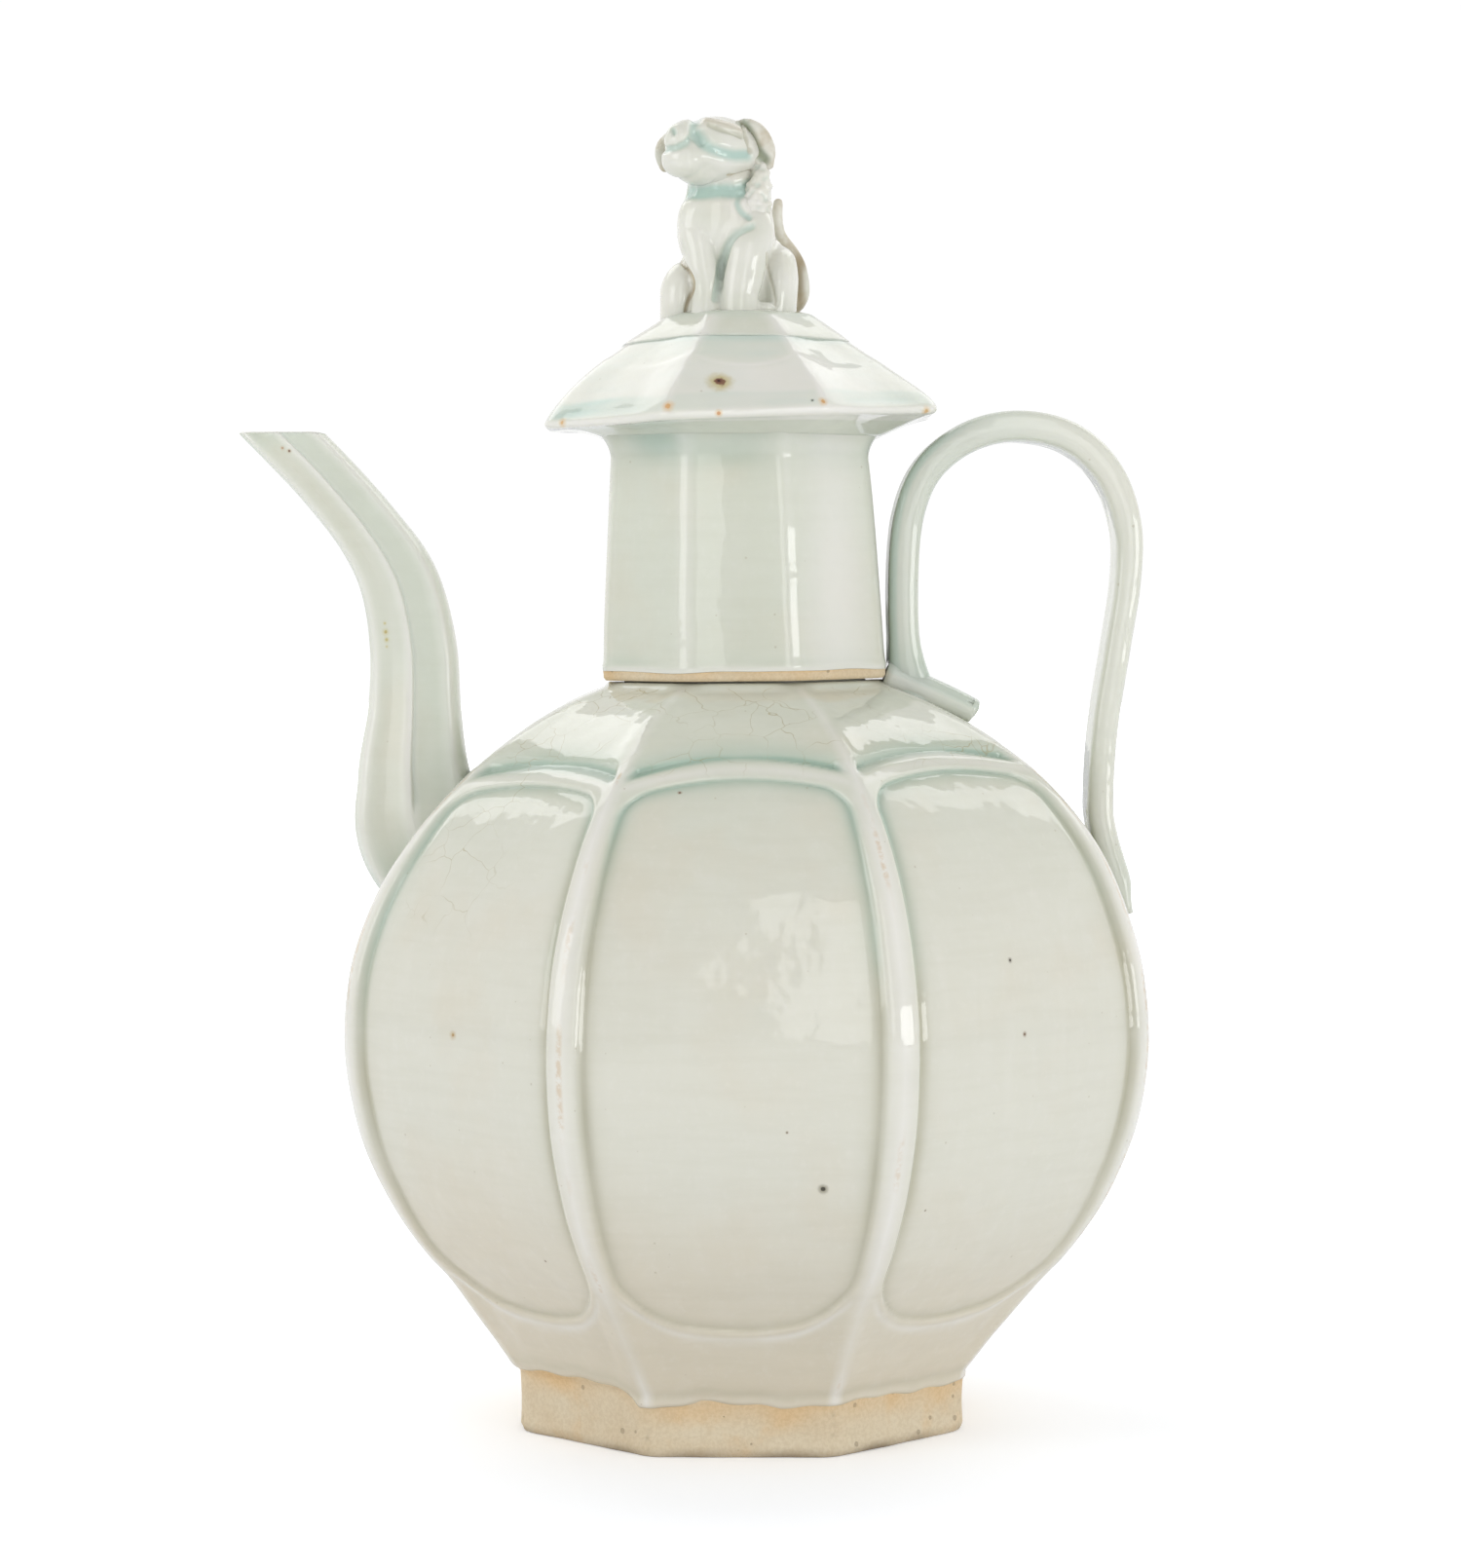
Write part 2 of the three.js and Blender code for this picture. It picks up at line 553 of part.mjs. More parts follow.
const TAIL_SHARES = [
  [0.19, 0.21, 0.03, 0.05, 0.045], [0.275, 0.225, 0.06, 0.05, 0.045], [0.315, 0.23, 0.14, 0.045, 0.042],
  [0.3, 0.225, 0.24, 0.042, 0.038], [0.235, 0.2, 0.335, 0.036, 0.034], [0.18, 0.175, 0.42, 0.031, 0.03],
  [0.165, 0.165, 0.5, 0.028, 0.028], [0.17, 0.16, 0.585, 0.026, 0.026],
];
const MANE_SHARES = [
  [0.05, -0.09, 0.74, 0.04, 0.04], [0.065, -0.11, 0.68, 0.066, 0.06], [0.075, -0.12, 0.58, 0.072, 0.066],
  [0.07, -0.12, 0.49, 0.064, 0.056], [0.06, -0.115, 0.43, 0.035, 0.03],
];

// The head and its ears face -Y about the head's own centre, and are then turned and set in place
const HEAD_CENTRE_SHARES = [-0.151, -0.055, 0.821];
const SKULL_SHARES = [
  [0, 0.26, 0, 0.09, 0.07], [0, 0.22, 0.0, 0.165, 0.125], [0, 0.11, 0, 0.222, 0.17],
  [0, -0.02, 0, 0.225, 0.178], [0, -0.14, -0.005, 0.195, 0.168], [0, -0.22, -0.005, 0.165, 0.155],
  [0, -0.28, 0, 0.145, 0.14], [0, -0.305, 0, 0.1, 0.1],
];
const LEFT_EAR_SHARES = [
  [-0.19, 0.02, 0.09, 0.03, 0.05], [-0.27, 0.03, 0.1, 0.035, 0.075], [-0.34, 0.035, 0.04, 0.03, 0.09],
  [-0.36, 0.035, -0.03, 0.026, 0.07], [-0.35, 0.03, -0.085, 0.02, 0.03],
];
const RIGHT_EAR_SHARES = [
  [0.14, 0.04, 0.12, 0.03, 0.05], [0.2, 0.04, 0.12, 0.035, 0.085], [0.265, 0.03, 0.06, 0.032, 0.11],
  [0.295, 0.02, -0.025, 0.028, 0.085], [0.305, 0.02, -0.1, 0.02, 0.035],
];

// Every piece is cut by the pieces it is luted to, and flat where it sits on the crown
function lion() {
  const group = new THREE.Group();
  const below = new THREE.BoxGeometry(2 * LION_HEIGHT, 2 * LION_HEIGHT, LION_HEIGHT);
  const ground = solid(below.translate(0, 0, -LION_HEIGHT / 2));
  const centre = HEAD_CENTRE_SHARES.map((share) => share * LION_HEIGHT);
  const onBody = (rows, grow, count) => limb(rows, ACROSS, grow, count);
  const turn = [0, 0, THREE.MathUtils.radToDeg(2 * Math.PI * HEAD_TURN_SHARE)];
  const onHead = (rows, grow, count) => limb(rows, ACROSS, grow, count).rotate(turn).translate(centre);
  const torso = onBody(TORSO_SHARES, 0, 14);
  const torsoCut = onBody(TORSO_SHARES, LUTE_GAP, 14);
  const skullCut = onHead(SKULL_SHARES, LUTE_GAP, 14);
  const add = (name, material, shape, ...cuts) =>
    group.add(piece(name, cuts.reduce((rest, cut) => rest.subtract(cut), shape), material));
  add('lion_torso', GLAZE, torso, ground);
  add('lion_head', GLAZE, onHead(SKULL_SHARES, 0, 14), torsoCut);
  add('lion_left_ear', TOASTED_CLAY, onHead(LEFT_EAR_SHARES, 0), skullCut, torsoCut);
  add('lion_right_ear', TOASTED_CLAY, onHead(RIGHT_EAR_SHARES, 0), skullCut, torsoCut);
  const rightEarCut = onHead(RIGHT_EAR_SHARES, LUTE_GAP);
  const rightLegCut = onBody(RIGHT_FORELEG_SHARES, LUTE_GAP);
  const leftLegCut = onBody(LEFT_FORELEG_SHARES, LUTE_GAP);
  const rightHaunchCut = onBody(RIGHT_HAUNCH_SHARES, LUTE_GAP);
  add('lion_mane', GLAZE, onBody(MANE_SHARES, 0), torsoCut, skullCut, rightEarCut, rightLegCut);
  add('lion_left_foreleg', GLAZE, onBody(LEFT_FORELEG_SHARES, 0), torsoCut, ground);
  add('lion_right_foreleg', GLAZE, onBody(RIGHT_FORELEG_SHARES, 0), torsoCut, ground);
  add('lion_left_haunch', GLAZE, onBody(LEFT_HAUNCH_SHARES, 0), torsoCut, leftLegCut, ground);
  add('lion_right_haunch', GLAZE, onBody(RIGHT_HAUNCH_SHARES, 0), torsoCut, rightLegCut, ground);
  add('lion_tail', TOASTED_CLAY, onBody(TAIL_SHARES, 0), torsoCut, rightHaunchCut, ground);
  group.position.z = LION_BASE;
  return group;
}

function vessel() {
  const group = new THREE.Group();
  const cutter = bodyCutter();
  group.add(piece('foot_ring', footRing(), BARE_CLAY));
  group.add(piece('body_lower', bodyLower(), GLAZE));
  group.add(piece('body_upper', bodyUpper(spoutPort()), GLAZE));
  const throat = piece('neck', neck(), GLAZE);
  throat.position.z = COVER_BASE;
  group.add(throat);
  group.add(piece('spout', spout(cutter), GLAZE));
  group.add(piece('handle', handle(cutter), GLAZE));
  return group;
}

function cover() {
  const group = new THREE.Group();
  group.add(piece('cover_sleeve', coverSleeve(), GLAZE));
  const roof = piece('cover_roof', coverRoof(), GLAZE);
  roof.position.z = ROOF_BASE;
  const crown = piece('roof_crown', roofCrown(), GLAZE);
  crown.position.z = CROWN_BASE;
  group.add(roof, crown, lion());
  group.position.z = COVER_BASE;
  return group;
}

// The ewer stands with its origin under the middle of its overall reach, spout tip to handle
const ewer = new THREE.Group();
ewer.add(vessel(), cover());
const overall = new THREE.Box3().setFromObject(ewer, true);
ewer.position.x = -(overall.min.x + overall.max.x) / 2;

export default ewer;
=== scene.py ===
"""Covered wine ewer in pale celadon porcelain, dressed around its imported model. Lengths are in metres."""

import math

import bpy
import numpy as np
from bpy.props import FloatProperty, FloatVectorProperty, PointerProperty
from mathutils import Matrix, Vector
from mathutils.bvhtree import BVHTree


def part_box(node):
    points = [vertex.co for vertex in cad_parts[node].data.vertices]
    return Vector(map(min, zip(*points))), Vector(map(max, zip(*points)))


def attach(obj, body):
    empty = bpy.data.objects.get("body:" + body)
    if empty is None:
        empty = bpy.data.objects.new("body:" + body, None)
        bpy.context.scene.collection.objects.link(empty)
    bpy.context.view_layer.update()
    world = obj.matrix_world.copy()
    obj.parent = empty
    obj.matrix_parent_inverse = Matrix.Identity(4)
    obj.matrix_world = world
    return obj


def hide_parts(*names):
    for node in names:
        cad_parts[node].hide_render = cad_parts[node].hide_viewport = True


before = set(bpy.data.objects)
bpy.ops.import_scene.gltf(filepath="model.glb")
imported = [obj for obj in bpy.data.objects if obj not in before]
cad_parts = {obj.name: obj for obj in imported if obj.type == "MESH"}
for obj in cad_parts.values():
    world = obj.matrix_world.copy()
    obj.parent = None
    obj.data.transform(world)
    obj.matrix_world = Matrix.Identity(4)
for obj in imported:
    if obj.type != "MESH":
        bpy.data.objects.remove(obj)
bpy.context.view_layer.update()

bl_info = {
    "name": "Covered wine ewer",
    "version": (1, 0, 0),
    "blender": (4, 5, 0),
    "location": "3D View > Sidebar > Ewer",
    "description": "Dresses the wine ewer's solids in glazed and bare porcelain",
    "category": "Object",
}

# The octagon. Its flat faces look along X and Y, and a radius is measured to its corners.
SIDES = 8
HALF_STEP = math.pi / SIDES
FLAT = math.cos(HALF_STEP)
HALF_FACE = math.sin(HALF_STEP)
CORNER_BOW = math.sin(2 * HALF_STEP) / 4


def low(node):
    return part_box(node)[0]


def high(node):
    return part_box(node)[1]


def corner_radius(node):
    """Widest corner radius of an eight-sided node."""
    return (high(node).x - low(node).x) / 2 / FLAT


# Places and sizes that come from the frame
AXIS_X = (low("foot_ring").x + high("foot_ring").x) / 2
FOOT_RADIUS = corner_radius("foot_ring")
FOOT_TOP = high("foot_ring").z
FLOOR_Z = low("body_lower").z
BODY_RADIUS = corner_radius("body_lower")
SEAM_Z = high("body_lower").z
SEAT_Z = high("body_upper").z
NECK_RADIUS = corner_radius("neck")
NECK_TOP = high("neck").z
SLEEVE_BASE = low("cover_sleeve").z
SLEEVE_TOP = high("cover_sleeve").z
SLEEVE_RADIUS = corner_radius("cover_sleeve")
ROOF_BASE = low("cover_roof").z
ROOF_TOP = high("cover_roof").z
EAVE_RADIUS = corner_radius("cover_roof")
CROWN_RADIUS = corner_radius("roof_crown")
CROWN_TOP = high("roof_crown").z
LION_BASE = low("lion_torso").z
LION_HEIGHT = high("lion_head").z - LION_BASE
SPOUT_LIP = high("spout").z


def length(name, description, default):
    return FloatProperty(name=name, description=description, default=default, unit="LENGTH", precision=5)


def share(name, description, default):
    return FloatProperty(name=name, description=description, default=default, subtype="FACTOR", precision=3)


def colour(name, description, default):
    return FloatVectorProperty(
        name=name, description=description, default=default, size=4, subtype="COLOR", min=0, max=1
    )


class BodyForm(bpy.types.PropertyGroup):
    """Relief of the ewer's body"""

    widest_z: length("Widest height", "Height at which the body is widest", 0.0745)
    lower_rise: length("Lower rise", "Height of the oval's lower half", 0.0684)
    upper_rise: length("Upper rise", "Height of the oval's upper half", 0.0663)
    band_top: length("Base band top", "Height at which the cone meets the oval", 0.031)
    wall: length("Wall", "Thickness of the body's wall", 0.004)
    rib_share: share("Rib", "Half width of a rib, as a share of the body's radius", 0.05)
    groove_depth: length("Groove", "Depth of the groove round a panel", 0.0013)
    panel_sink: length("Panel sink", "How far a panel's edge lies under the ribs", 0.00085)
    panel_bulge: length("Panel bulge", "How far a panel swells towards its middle", 0.0006)
    panel_top: length("Panel top", "Height of a panel's upper edge", 0.1212)
    panel_droop: length("Panel droop", "Drop of that edge towards its corners", 0.0045)
    panel_foot: length("Panel foot", "Height of a panel's lower edge at its middle", 0.0249)
    panel_sag: length("Panel sag", "Rise of that edge towards its corners", 0.0048)
    band_groove: length("Band groove", "Height of the groove over the bead", 0.1248)
    band_droop: length("Band groove droop", "Drop of that groove towards its ends", 0.0042)
    band_depth: length("Band groove depth", "Depth of that groove", 0.0017)
    seat_radius: length("Seat", "Corner radius of the seat for the cover", 0.02885)
    hollow: length("Shoulder hollow", "How far the shoulder's faces are sunk", 0.00045)
    warp: length("Warp", "How far the shoulder sank at the spout and rose at the handle", 0.0019)
    slip: length("Slip", "Drop of the bead left of the front", 0.0016)


class FootForm(bpy.types.PropertyGroup):
    """Bare foot ring and the edge of the glaze over it"""

    ring_width: length("Ring width", "Width of the foot ring", 0.007)
    chamfer: length("Chamfer", "Worn bevel along the foot's lower edge", 0.0006)
    corner: length("Corner", "Softness of the foot's corners", 0.0026)
    shoulder: length("Shoulder", "How far bare clay runs on up the body", 0.0016)
    glaze_z: length("Glaze line", "Mean height at which the glaze ends", 0.0102)
    waist: length("Waist", "How far the ring's face is hollowed", 0.00035)
    glaze_thickness: length("Glaze edge", "How far the glaze's edge stands over the clay", 0.0002)


class CoverForm(bpy.types.PropertyGroup):
    """Sleeve, roof and crown of the cover"""

    waist_radius: length("Waist", "Corner radius of the sleeve under its flare", 0.0259)
    wall: length("Wall", "Thickness of the sleeve", 0.0028)
    flare: length("Flare", "How far the sleeve flares under the eaves", 0.0019)
    flare_height: length("Flare height", "Height of that flare", 0.0042)
    fillet: length("Fillet", "How far that flare runs up under the roof", 0.0017)
    tilt: length("Tilt", "How far the cover leans towards the spout", 0.0010)
    rim_lean: length("Rim lean", "Rise of the rim on the handle's side", 0.0003)
    rim_gap: length("Rim gap", "Gap under the resting rim", 0.0001)
    corner: length("Corner", "Softness of the sleeve's corners", 0.0024)
    rim: length("Bare rim", "Height of the bare clay along the sleeve's rim", 0.0017)
    eave_edge: length("Eave edge", "Thickness of the eave's edge", 0.0011)
    eave_drop: length("Eave rise", "Height of the eave's lower edge over the sleeve", 0.0037)
    eave_lean: length("Eave lean", "Drop of the eaves on the spout's side", 0.0015)
    ridge: length("Ridge", "Softness of the roof's ridges", 0.0019)
    roof_top_radius: length("Roof top", "Corner radius at the top of the roof", 0.021)
    crown_top_radius: length("Crown top", "Corner radius at the top of the crown", 0.0143)
    crease_sag: length("Crease sag", "Drop of the crown's edge at its sides", 0.0010)
    lute: length("Luting", "How far slip rises round the lion's feet", 0.0002)


class SpoutForm(bpy.types.PropertyGroup):
    """Curved spout"""

    root_drop: length("Root drop", "Height of the shoulder over the spout's root", 0.026)
    rise: length("Rise", "Height of the spout's lip over its root", 0.073)
    reach: length("Reach", "How far the lip's middle stands out from the root", 0.0252)
    root_depth: length("Root depth", "Thickness at the root, seen from the front", 0.0235)
    tip_depth: length("Tip depth", "Thickness at the lip, seen from the front", 0.0112)
    flatness: share("Flatness", "Width across, as a share of the thickness", 0.88)
    wall: length("Wall", "Thickness of the spout's wall", 0.002)


class HandleForm(bpy.types.PropertyGroup):
    """Strap handle"""

    width: length("Width", "Width of the strap", 0.018)
    thickness: length("Thickness", "Thickness of the strap at its upper root", 0.0058)
    lower_thickness: length("Lower thickness", "Thickness of the strap at its lower root", 0.0048)
    sleeve_gap: length("Sleeve gap", "Gap between the strap and the cover's rim", 0.0007)
    rise: length("Rise", "Height of the loop over the shoulder", 0.0509)
    overreach: length("Overreach", "How far the loop reaches past its lower root", 0.0028)
    root_drop: length("Root drop", "Height of the shoulder over the lower root", 0.04)
    toe: length("Toe", "How far the lower root runs on down the body", 0.0016)
    pad_length: length("Pad length", "Length of the upper root's pad on the shoulder", 0.0129)
    pad_thickness: length("Pad thickness", "Thickness of that pad", 0.0054)


class GlazeLook(bpy.types.PropertyGroup):
    """Colours of the glaze and the clay"""

    pale: colour("Glaze", "The glaze where it lies evenly", (0.624, 0.636, 0.545, 1))
    cream: colour("Cream", "The glaze over the body's panels", (0.636, 0.629, 0.545, 1))
    warm: colour("Warm glaze", "The glaze low on the body, over flashed clay", (0.63, 0.575, 0.46, 1))
    cool: colour("Pooled glaze", "The glaze where it pools high on the ewer", (0.36, 0.47, 0.385, 1))
    blue: colour("Blue glaze", "The glaze where it pools on the cover", (0.42, 0.555, 0.49, 1))
    olive: colour("Olive glaze", "The glaze where it pools low on the ewer", (0.40, 0.385, 0.27, 1))
    thin: colour("Thin glaze", "The glaze where it runs thin over a ridge", (0.75, 0.735, 0.69, 1))
    bare: colour("Bare clay", "Unglazed clay", (0.635, 0.535, 0.38, 1))
    flash: colour("Flashing", "Orange flashing where the glaze ends", (0.67, 0.47, 0.25, 1))
    iron: colour("Iron", "Iron specks", (0.06, 0.03, 0.015, 1))
    toasted: colour("Toasted clay", "Thinly glazed clay of the ears and the tail", (0.42, 0.34, 0.21, 1))


PROPERTY_GROUPS = {
    "ewer_body": BodyForm,
    "ewer_foot": FootForm,
    "ewer_cover": CoverForm,
    "ewer_spout": SpoutForm,
    "ewer_handle": HandleForm,
    "ewer_look": GlazeLook,
}


# Numbers along and across surfaces


def ramp(start, end, values):
    """From 0 at start to 1 at end, eased at both ends."""
    part = np.clip((np.asarray(values, float) - start) / (end - start), 0, 1)
    return part * part * (3 - 2 * part)


def mix(first, second, part):
    return first + (second - first) * part


def spaced(*stretches):
    """Rising values through (start, end, step) stretches, each given once."""
    values = []
    for start, end, step in stretches:
        count = max(1, round((end - start) / step))
        values.extend(np.linspace(start, end, count + 1)[:-1])
    values.append(stretches[-1][1])
    return np.array(values)


def wobble(x, y, z, size, seed=0.0):
    """Smooth unevenness from -1 to 1, with lumps of about the given size."""
    k = 2 * math.pi / size
    waves = (
        np.sin(k * (0.31 * x + 0.74 * y + 0.25 * z) + 1.3 + seed)
        + np.sin(k * (-0.58 * x + 0.21 * y + 0.47 * z) + 4.1 + 2 * seed)
        + np.sin(k * (0.17 * x - 0.36 * y + 0.83 * z) + 2.6 + 3 * seed)
    )
    return waves / 3


def bell(values, middle, width):
    """1 at the middle, falling away smoothly on both sides."""
    return np.exp(-(((values - middle) / width) ** 2))


def raised(points, rise):
    """Points moved up, each by its own rise."""
    return points + np.outer(rise, (0, 0, 1))


# Meshes

# Glaze marks; on the sleeve and the roof's front the thin, pool and stain marks also carry painted highlight
# and painted shade
MARKS = ("pool", "thin", "bare", "stain", "crackle")


def placed_in_scene(name, data):
    """Object for a mesh, a light or a camera, linked to the scene."""
    thing = bpy.data.objects.new(name, data)
    bpy.context.scene.collection.objects.link(thing)
    return thing


def new_piece(name, points, faces, material, marks):
    """Mesh object. Its marks say from 0 to 1 how the glaze lies at each point, and on the sleeve and the
    roof's front also where highlight and shade are painted.
    """
    mesh = bpy.data.meshes.new(name)
    mesh.from_pydata(np.asarray(points).tolist(), [], faces)
    mesh.validate()
    for key in MARKS:
        layer = mesh.attributes.new(key, "FLOAT", "POINT")
        if key in marks:
            layer.data.foreach_set("value", np.asarray(marks[key], np.float32).ravel())
    mesh.polygons.foreach_set("use_smooth", [True] * len(mesh.polygons))
    mesh.materials.append(material)
    return placed_in_scene(name, mesh)


def ring_faces(rows, columns, closed=False, fan_ends=False, start=0):
    """Faces of a tube of rings. Its ends can meet, or each close in a last point."""
    faces = []
    for row in range(rows if closed else rows - 1):
        this, following = row * columns, (row + 1) % rows * columns
        for column in range(columns):
            after = (column + 1) % columns
            faces.append((this + column, this + after, following + after, following + column))
    if fan_ends:
        first, last, top = rows * columns, rows * columns + 1, (rows - 1) * columns
        for column in range(columns):
            after = (column + 1) % columns
            faces += [(first, after, column), (last, top + column, top + after)]
    return [tuple(index + start for index in face) for face in faces]


def face_places(dense, sparse, dense_share=0.24):
    """Places across a face from -1 to 1, without the last, closer near its edges."""
    edge = np.linspace(0, dense_share, dense + 1)
    middle = np.linspace(dense_share, 1, sparse + 1)[1:]
    inwards = np.concatenate([edge, middle])
    return np.concatenate([inwards - 1, (1 - inwards)[::-1][1:-1]])


def corner_drop(distance, width):
    """How far a softened corner lies inside the sharp one, by distance along the face."""
    width = np.maximum(width, 1e-9)
    return CORNER_BOW * width * np.clip(1 - distance / width, 0, 1) ** 2


# How far a hand-made octagon's corners are from even: degrees of turn, and swelling as a share of the
# radius. The corners count from the one between +X and +Y, and the front face lies between 5 and 6.
EVEN = ([0] * SIDES, [0] * SIDES)
BODY_UNEVEN = ([0, 0, 0, 0, 0.8, -1.9, -1.9, -0.3], [0.004, 0, 0, 0, 0.009, 0, -0.01, 0.013])
FOOT_UNEVEN = ([0, 0, 0, 0, 0, -1.4, -1.0, 0], [0, 0, 0, 0.006, 0.032, 0.006, 0, 0])
SLEEVE_UNEVEN = ([0, 0, 0, 0, 0, 0, -4.0, -1.5], [0] * SIDES)
ROOF_UNEVEN = ([0, 0, 0, 0, 0.8, 2.6, 0.9, 0], [0] * SIDES)


class Octagons:
    """Rings of an eight-sided surface, with the same places across each face."""

    def __init__(self, radius, height, places, uneven=EVEN):
        radius, height = np.asarray(radius, float), np.asarray(height, float)
        plain = np.zeros((len(height), SIDES * len(places)))
        self.radius = radius[:, None] + plain if radius.ndim == 1 else radius
        self.z = height[:, None] + plain if height.ndim == 1 else height
        self.across = np.tile(places, SIDES)[None, :]
        sides = np.repeat(np.arange(SIDES), len(places))
        self.turn = np.arctan(self.across * math.tan(HALF_STEP))
        self.angle = (2 * sides + 2) * HALF_STEP + self.turn
        self.from_corner = self.radius * HALF_FACE * (1 - np.abs(self.across))
        self.rows, self.columns = self.z.shape
        corners = (2 * np.arange(SIDES) + 1) * HALF_STEP
        turns, swells = (np.interp(self.angle, corners, part, period=2 * math.pi) for part in uneven)
        self.turned = self.angle + np.radians(turns)
        self.swell = 1 + swells

    def points(self, sink, rise=0.0):
        """Points in the row frame, each sunk from its flat face, and raised."""
        out = (self.radius * FLAT - sink) / np.cos(self.turn) * self.swell
        x = AXIS_X + out * np.cos(self.turned)
        y = out * np.sin(self.turned)
        return np.stack([x, y, self.z + rise], axis=-1)

    def closed_faces(self):
        return ring_faces(self.rows, self.columns, closed=True)

    def near_corner(self, width):
        """1 on a corner, falling to 0 at a width from it."""
        return np.clip(1 - self.from_corner / width, 0, 1)

    def lumps(self, size, seed=0.0):
        """Smooth unevenness of the surface, from -1 to 1."""
        x, y = self.radius * np.cos(self.angle), self.radius * np.sin(self.angle)
        return wobble(x, y, self.z, size, seed)


SECOND_CUT_SHARE = 0.3


def soft_polygon(corners, cut):
    """Closed outline with its corners cut twice, which leaves flats between soft ridges."""
    outline = [Vector(corner) for corner in corners]
    for share_cut in (cut, SECOND_CUT_SHARE):
        cut_outline = []
        for index, point in enumerate(outline):
            following = outline[(index + 1) % len(outline)]
            cut_outline += [point.lerp(following, share_cut), point.lerp(following, 1 - share_cut)]
        outline = cut_outline
    return np.array([tuple(point) for point in outline])


def smooth_path(places, count):
    """Points evenly along a smooth curve through the places."""
    places = np.asarray(places, float)
    padded = np.vstack([2 * places[0] - places[1], places, 2 * places[-1] - places[-2]])
    fine = []
    for first in range(len(padded) - 3):
        a, b, c, d = padded[first:first + 4]
        for t in np.linspace(0, 1, 40, endpoint=False):
            squared = (2 * a - 5 * b + 4 * c - d) * t ** 2
            cubed = (3 * b - a - 3 * c + d) * t ** 3
            fine.append(0.5 * (2 * b + (c - a) * t + squared + cubed))
    fine = np.array([*fine, padded[-2]])
    run = np.append(0, np.cumsum(np.linalg.norm(np.diff(fine[:, :3], axis=0), axis=1)))
    even = np.linspace(0, run[-1], count)
    return np.stack([np.interp(even, run, fine[:, k]) for k in range(fine.shape[1])], axis=1)


def sweep_points(path, wide, deep, section, side=(0, 1, 0)):
    """Rings of a section across a path. Its first value lies along side."""
    path = np.asarray(path, float)
    section = section if section.ndim == 3 else section[None]
    ahead = np.gradient(path, axis=0)
    ahead /= np.linalg.norm(ahead, axis=1)[:, None]
    across = np.asarray(side, float)[None, :] - ahead * (ahead @ np.asarray(side, float))[:, None]
    across /= np.linalg.norm(across, axis=1)[:, None]
    up = np.cross(across, ahead)
    wide = np.broadcast_to(wide, len(path))
    deep = np.broadcast_to(deep, len(path))
    return (
        path[:, None, :]
        + across[:, None, :] * (section[..., 0] * wide[:, None])[..., None]
        + up[:, None, :] * (section[..., 1] * deep[:, None])[..., None]
    )


def dress(piece, body, slot_name, *nodes):
    """Puts a piece on its body, in place of its nodes, which it hides. Its slot_name is not used."""
    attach(piece, body)
    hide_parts(*nodes)


# Node trees


class Net:
    """A node tree, with short calls that add a node, set it and join it up."""

    def __init__(self, tree):
        self.tree = tree

    def add(self, kind, *inputs, **named):
        """Node of a kind. inputs fill its sockets in order, and named sets its properties."""
        node = self.tree.nodes.new(kind)
        for key, value in named.items():
            setattr(node, key, value)
        for index, value in enumerate(inputs):
            self.put(node.inputs[index], value)
        return node

    def put(self, socket, value):
        if value is None:
            return
        if isinstance(value, bpy.types.NodeSocket):
            self.tree.links.new(value, socket)
        else:
            socket.default_value = value

    def set(self, node, **values):
        """Fills a node's sockets by name, with _ for each space."""
        for key, value in values.items():
            self.put(node.inputs[key.replace("_", " ")], value)

    def math(self, operation, *values, clamp=False):
        return self.add("ShaderNodeMath", *values, operation=operation, use_clamp=clamp).outputs[0]

    def vector(self, operation, *values):
        node = self.add("ShaderNodeVectorMath", *values, operation=operation)
        return node.outputs["Value"] if operation in ("DISTANCE", "LENGTH") else node.outputs["Vector"]

    def ramp(self, value, start, end, first=0.0, last=1.0):
        """Eased from first at start to last at end."""
        node = self.add("ShaderNodeMapRange", value, start, end, first, last,
                        interpolation_type="SMOOTHSTEP")
        return node.outputs[0]

    def blend(self, part, first, second, mode="MIX"):
        node = self.add("ShaderNodeMix", data_type="RGBA", blend_type=mode)
        for key, value in (("Factor_Float", part), ("A_Color", first), ("B_Color", second)):
            self.put(next(s for s in node.inputs if s.identifier == key), value)
        return next(s for s in node.outputs if s.identifier == "Result_Color")

    def noise(self, place, scale, detail=2.0, roughness=0.5):
        node = self.add("ShaderNodeTexNoise", noise_dimensions="3D")
        self.set(node, Vector=place, Scale=scale, Detail=detail, Roughness=roughness)
        return node.outputs["Fac"]

    def tint(self, base, mask, strength, colour):
        """Base with a colour over it by a mask, at most at the given strength."""
        return self.blend(self.math("MULTIPLY", mask, strength), base, colour)

    def mark(self, name):
        return self.add("ShaderNodeAttribute", attribute_name=name).outputs["Fac"]

    def group(self, name, place, **values):
        """Outputs of one of the shared groups, at a place."""
        node = self.add("ShaderNodeGroup", node_tree=bpy.data.node_groups[name])
        self.set(node, Place=place, **values)
        return node.outputs


# Effects that several materials share


def node_group(name, wire, inputs, outputs):
    """Shader node group. Its inputs are a place, then numbers, or places without a default."""
    tree = bpy.data.node_groups.new(name, "ShaderNodeTree")
    for label, default in {"Place": None, **inputs}.items():
        kind = "NodeSocketVector" if default is None else "NodeSocketFloat"
        socket = tree.interface.new_socket(label, in_out="INPUT", socket_type=kind)
        if default is not None:
            socket.default_value = default
    for label in outputs:
        kind = "NodeSocketColor" if label == "Color" else "NodeSocketFloat"
        tree.interface.new_socket(label, in_out="OUTPUT", socket_type=kind)
    net = Net(tree)
    given, out = tree.nodes.new("NodeGroupInput"), tree.nodes.new("NodeGroupOutput")
    made = wire(net, given.outputs, bpy.context.scene.ewer_look)
    for label in outputs:
        net.put(out.inputs[label], made[label])
    return tree


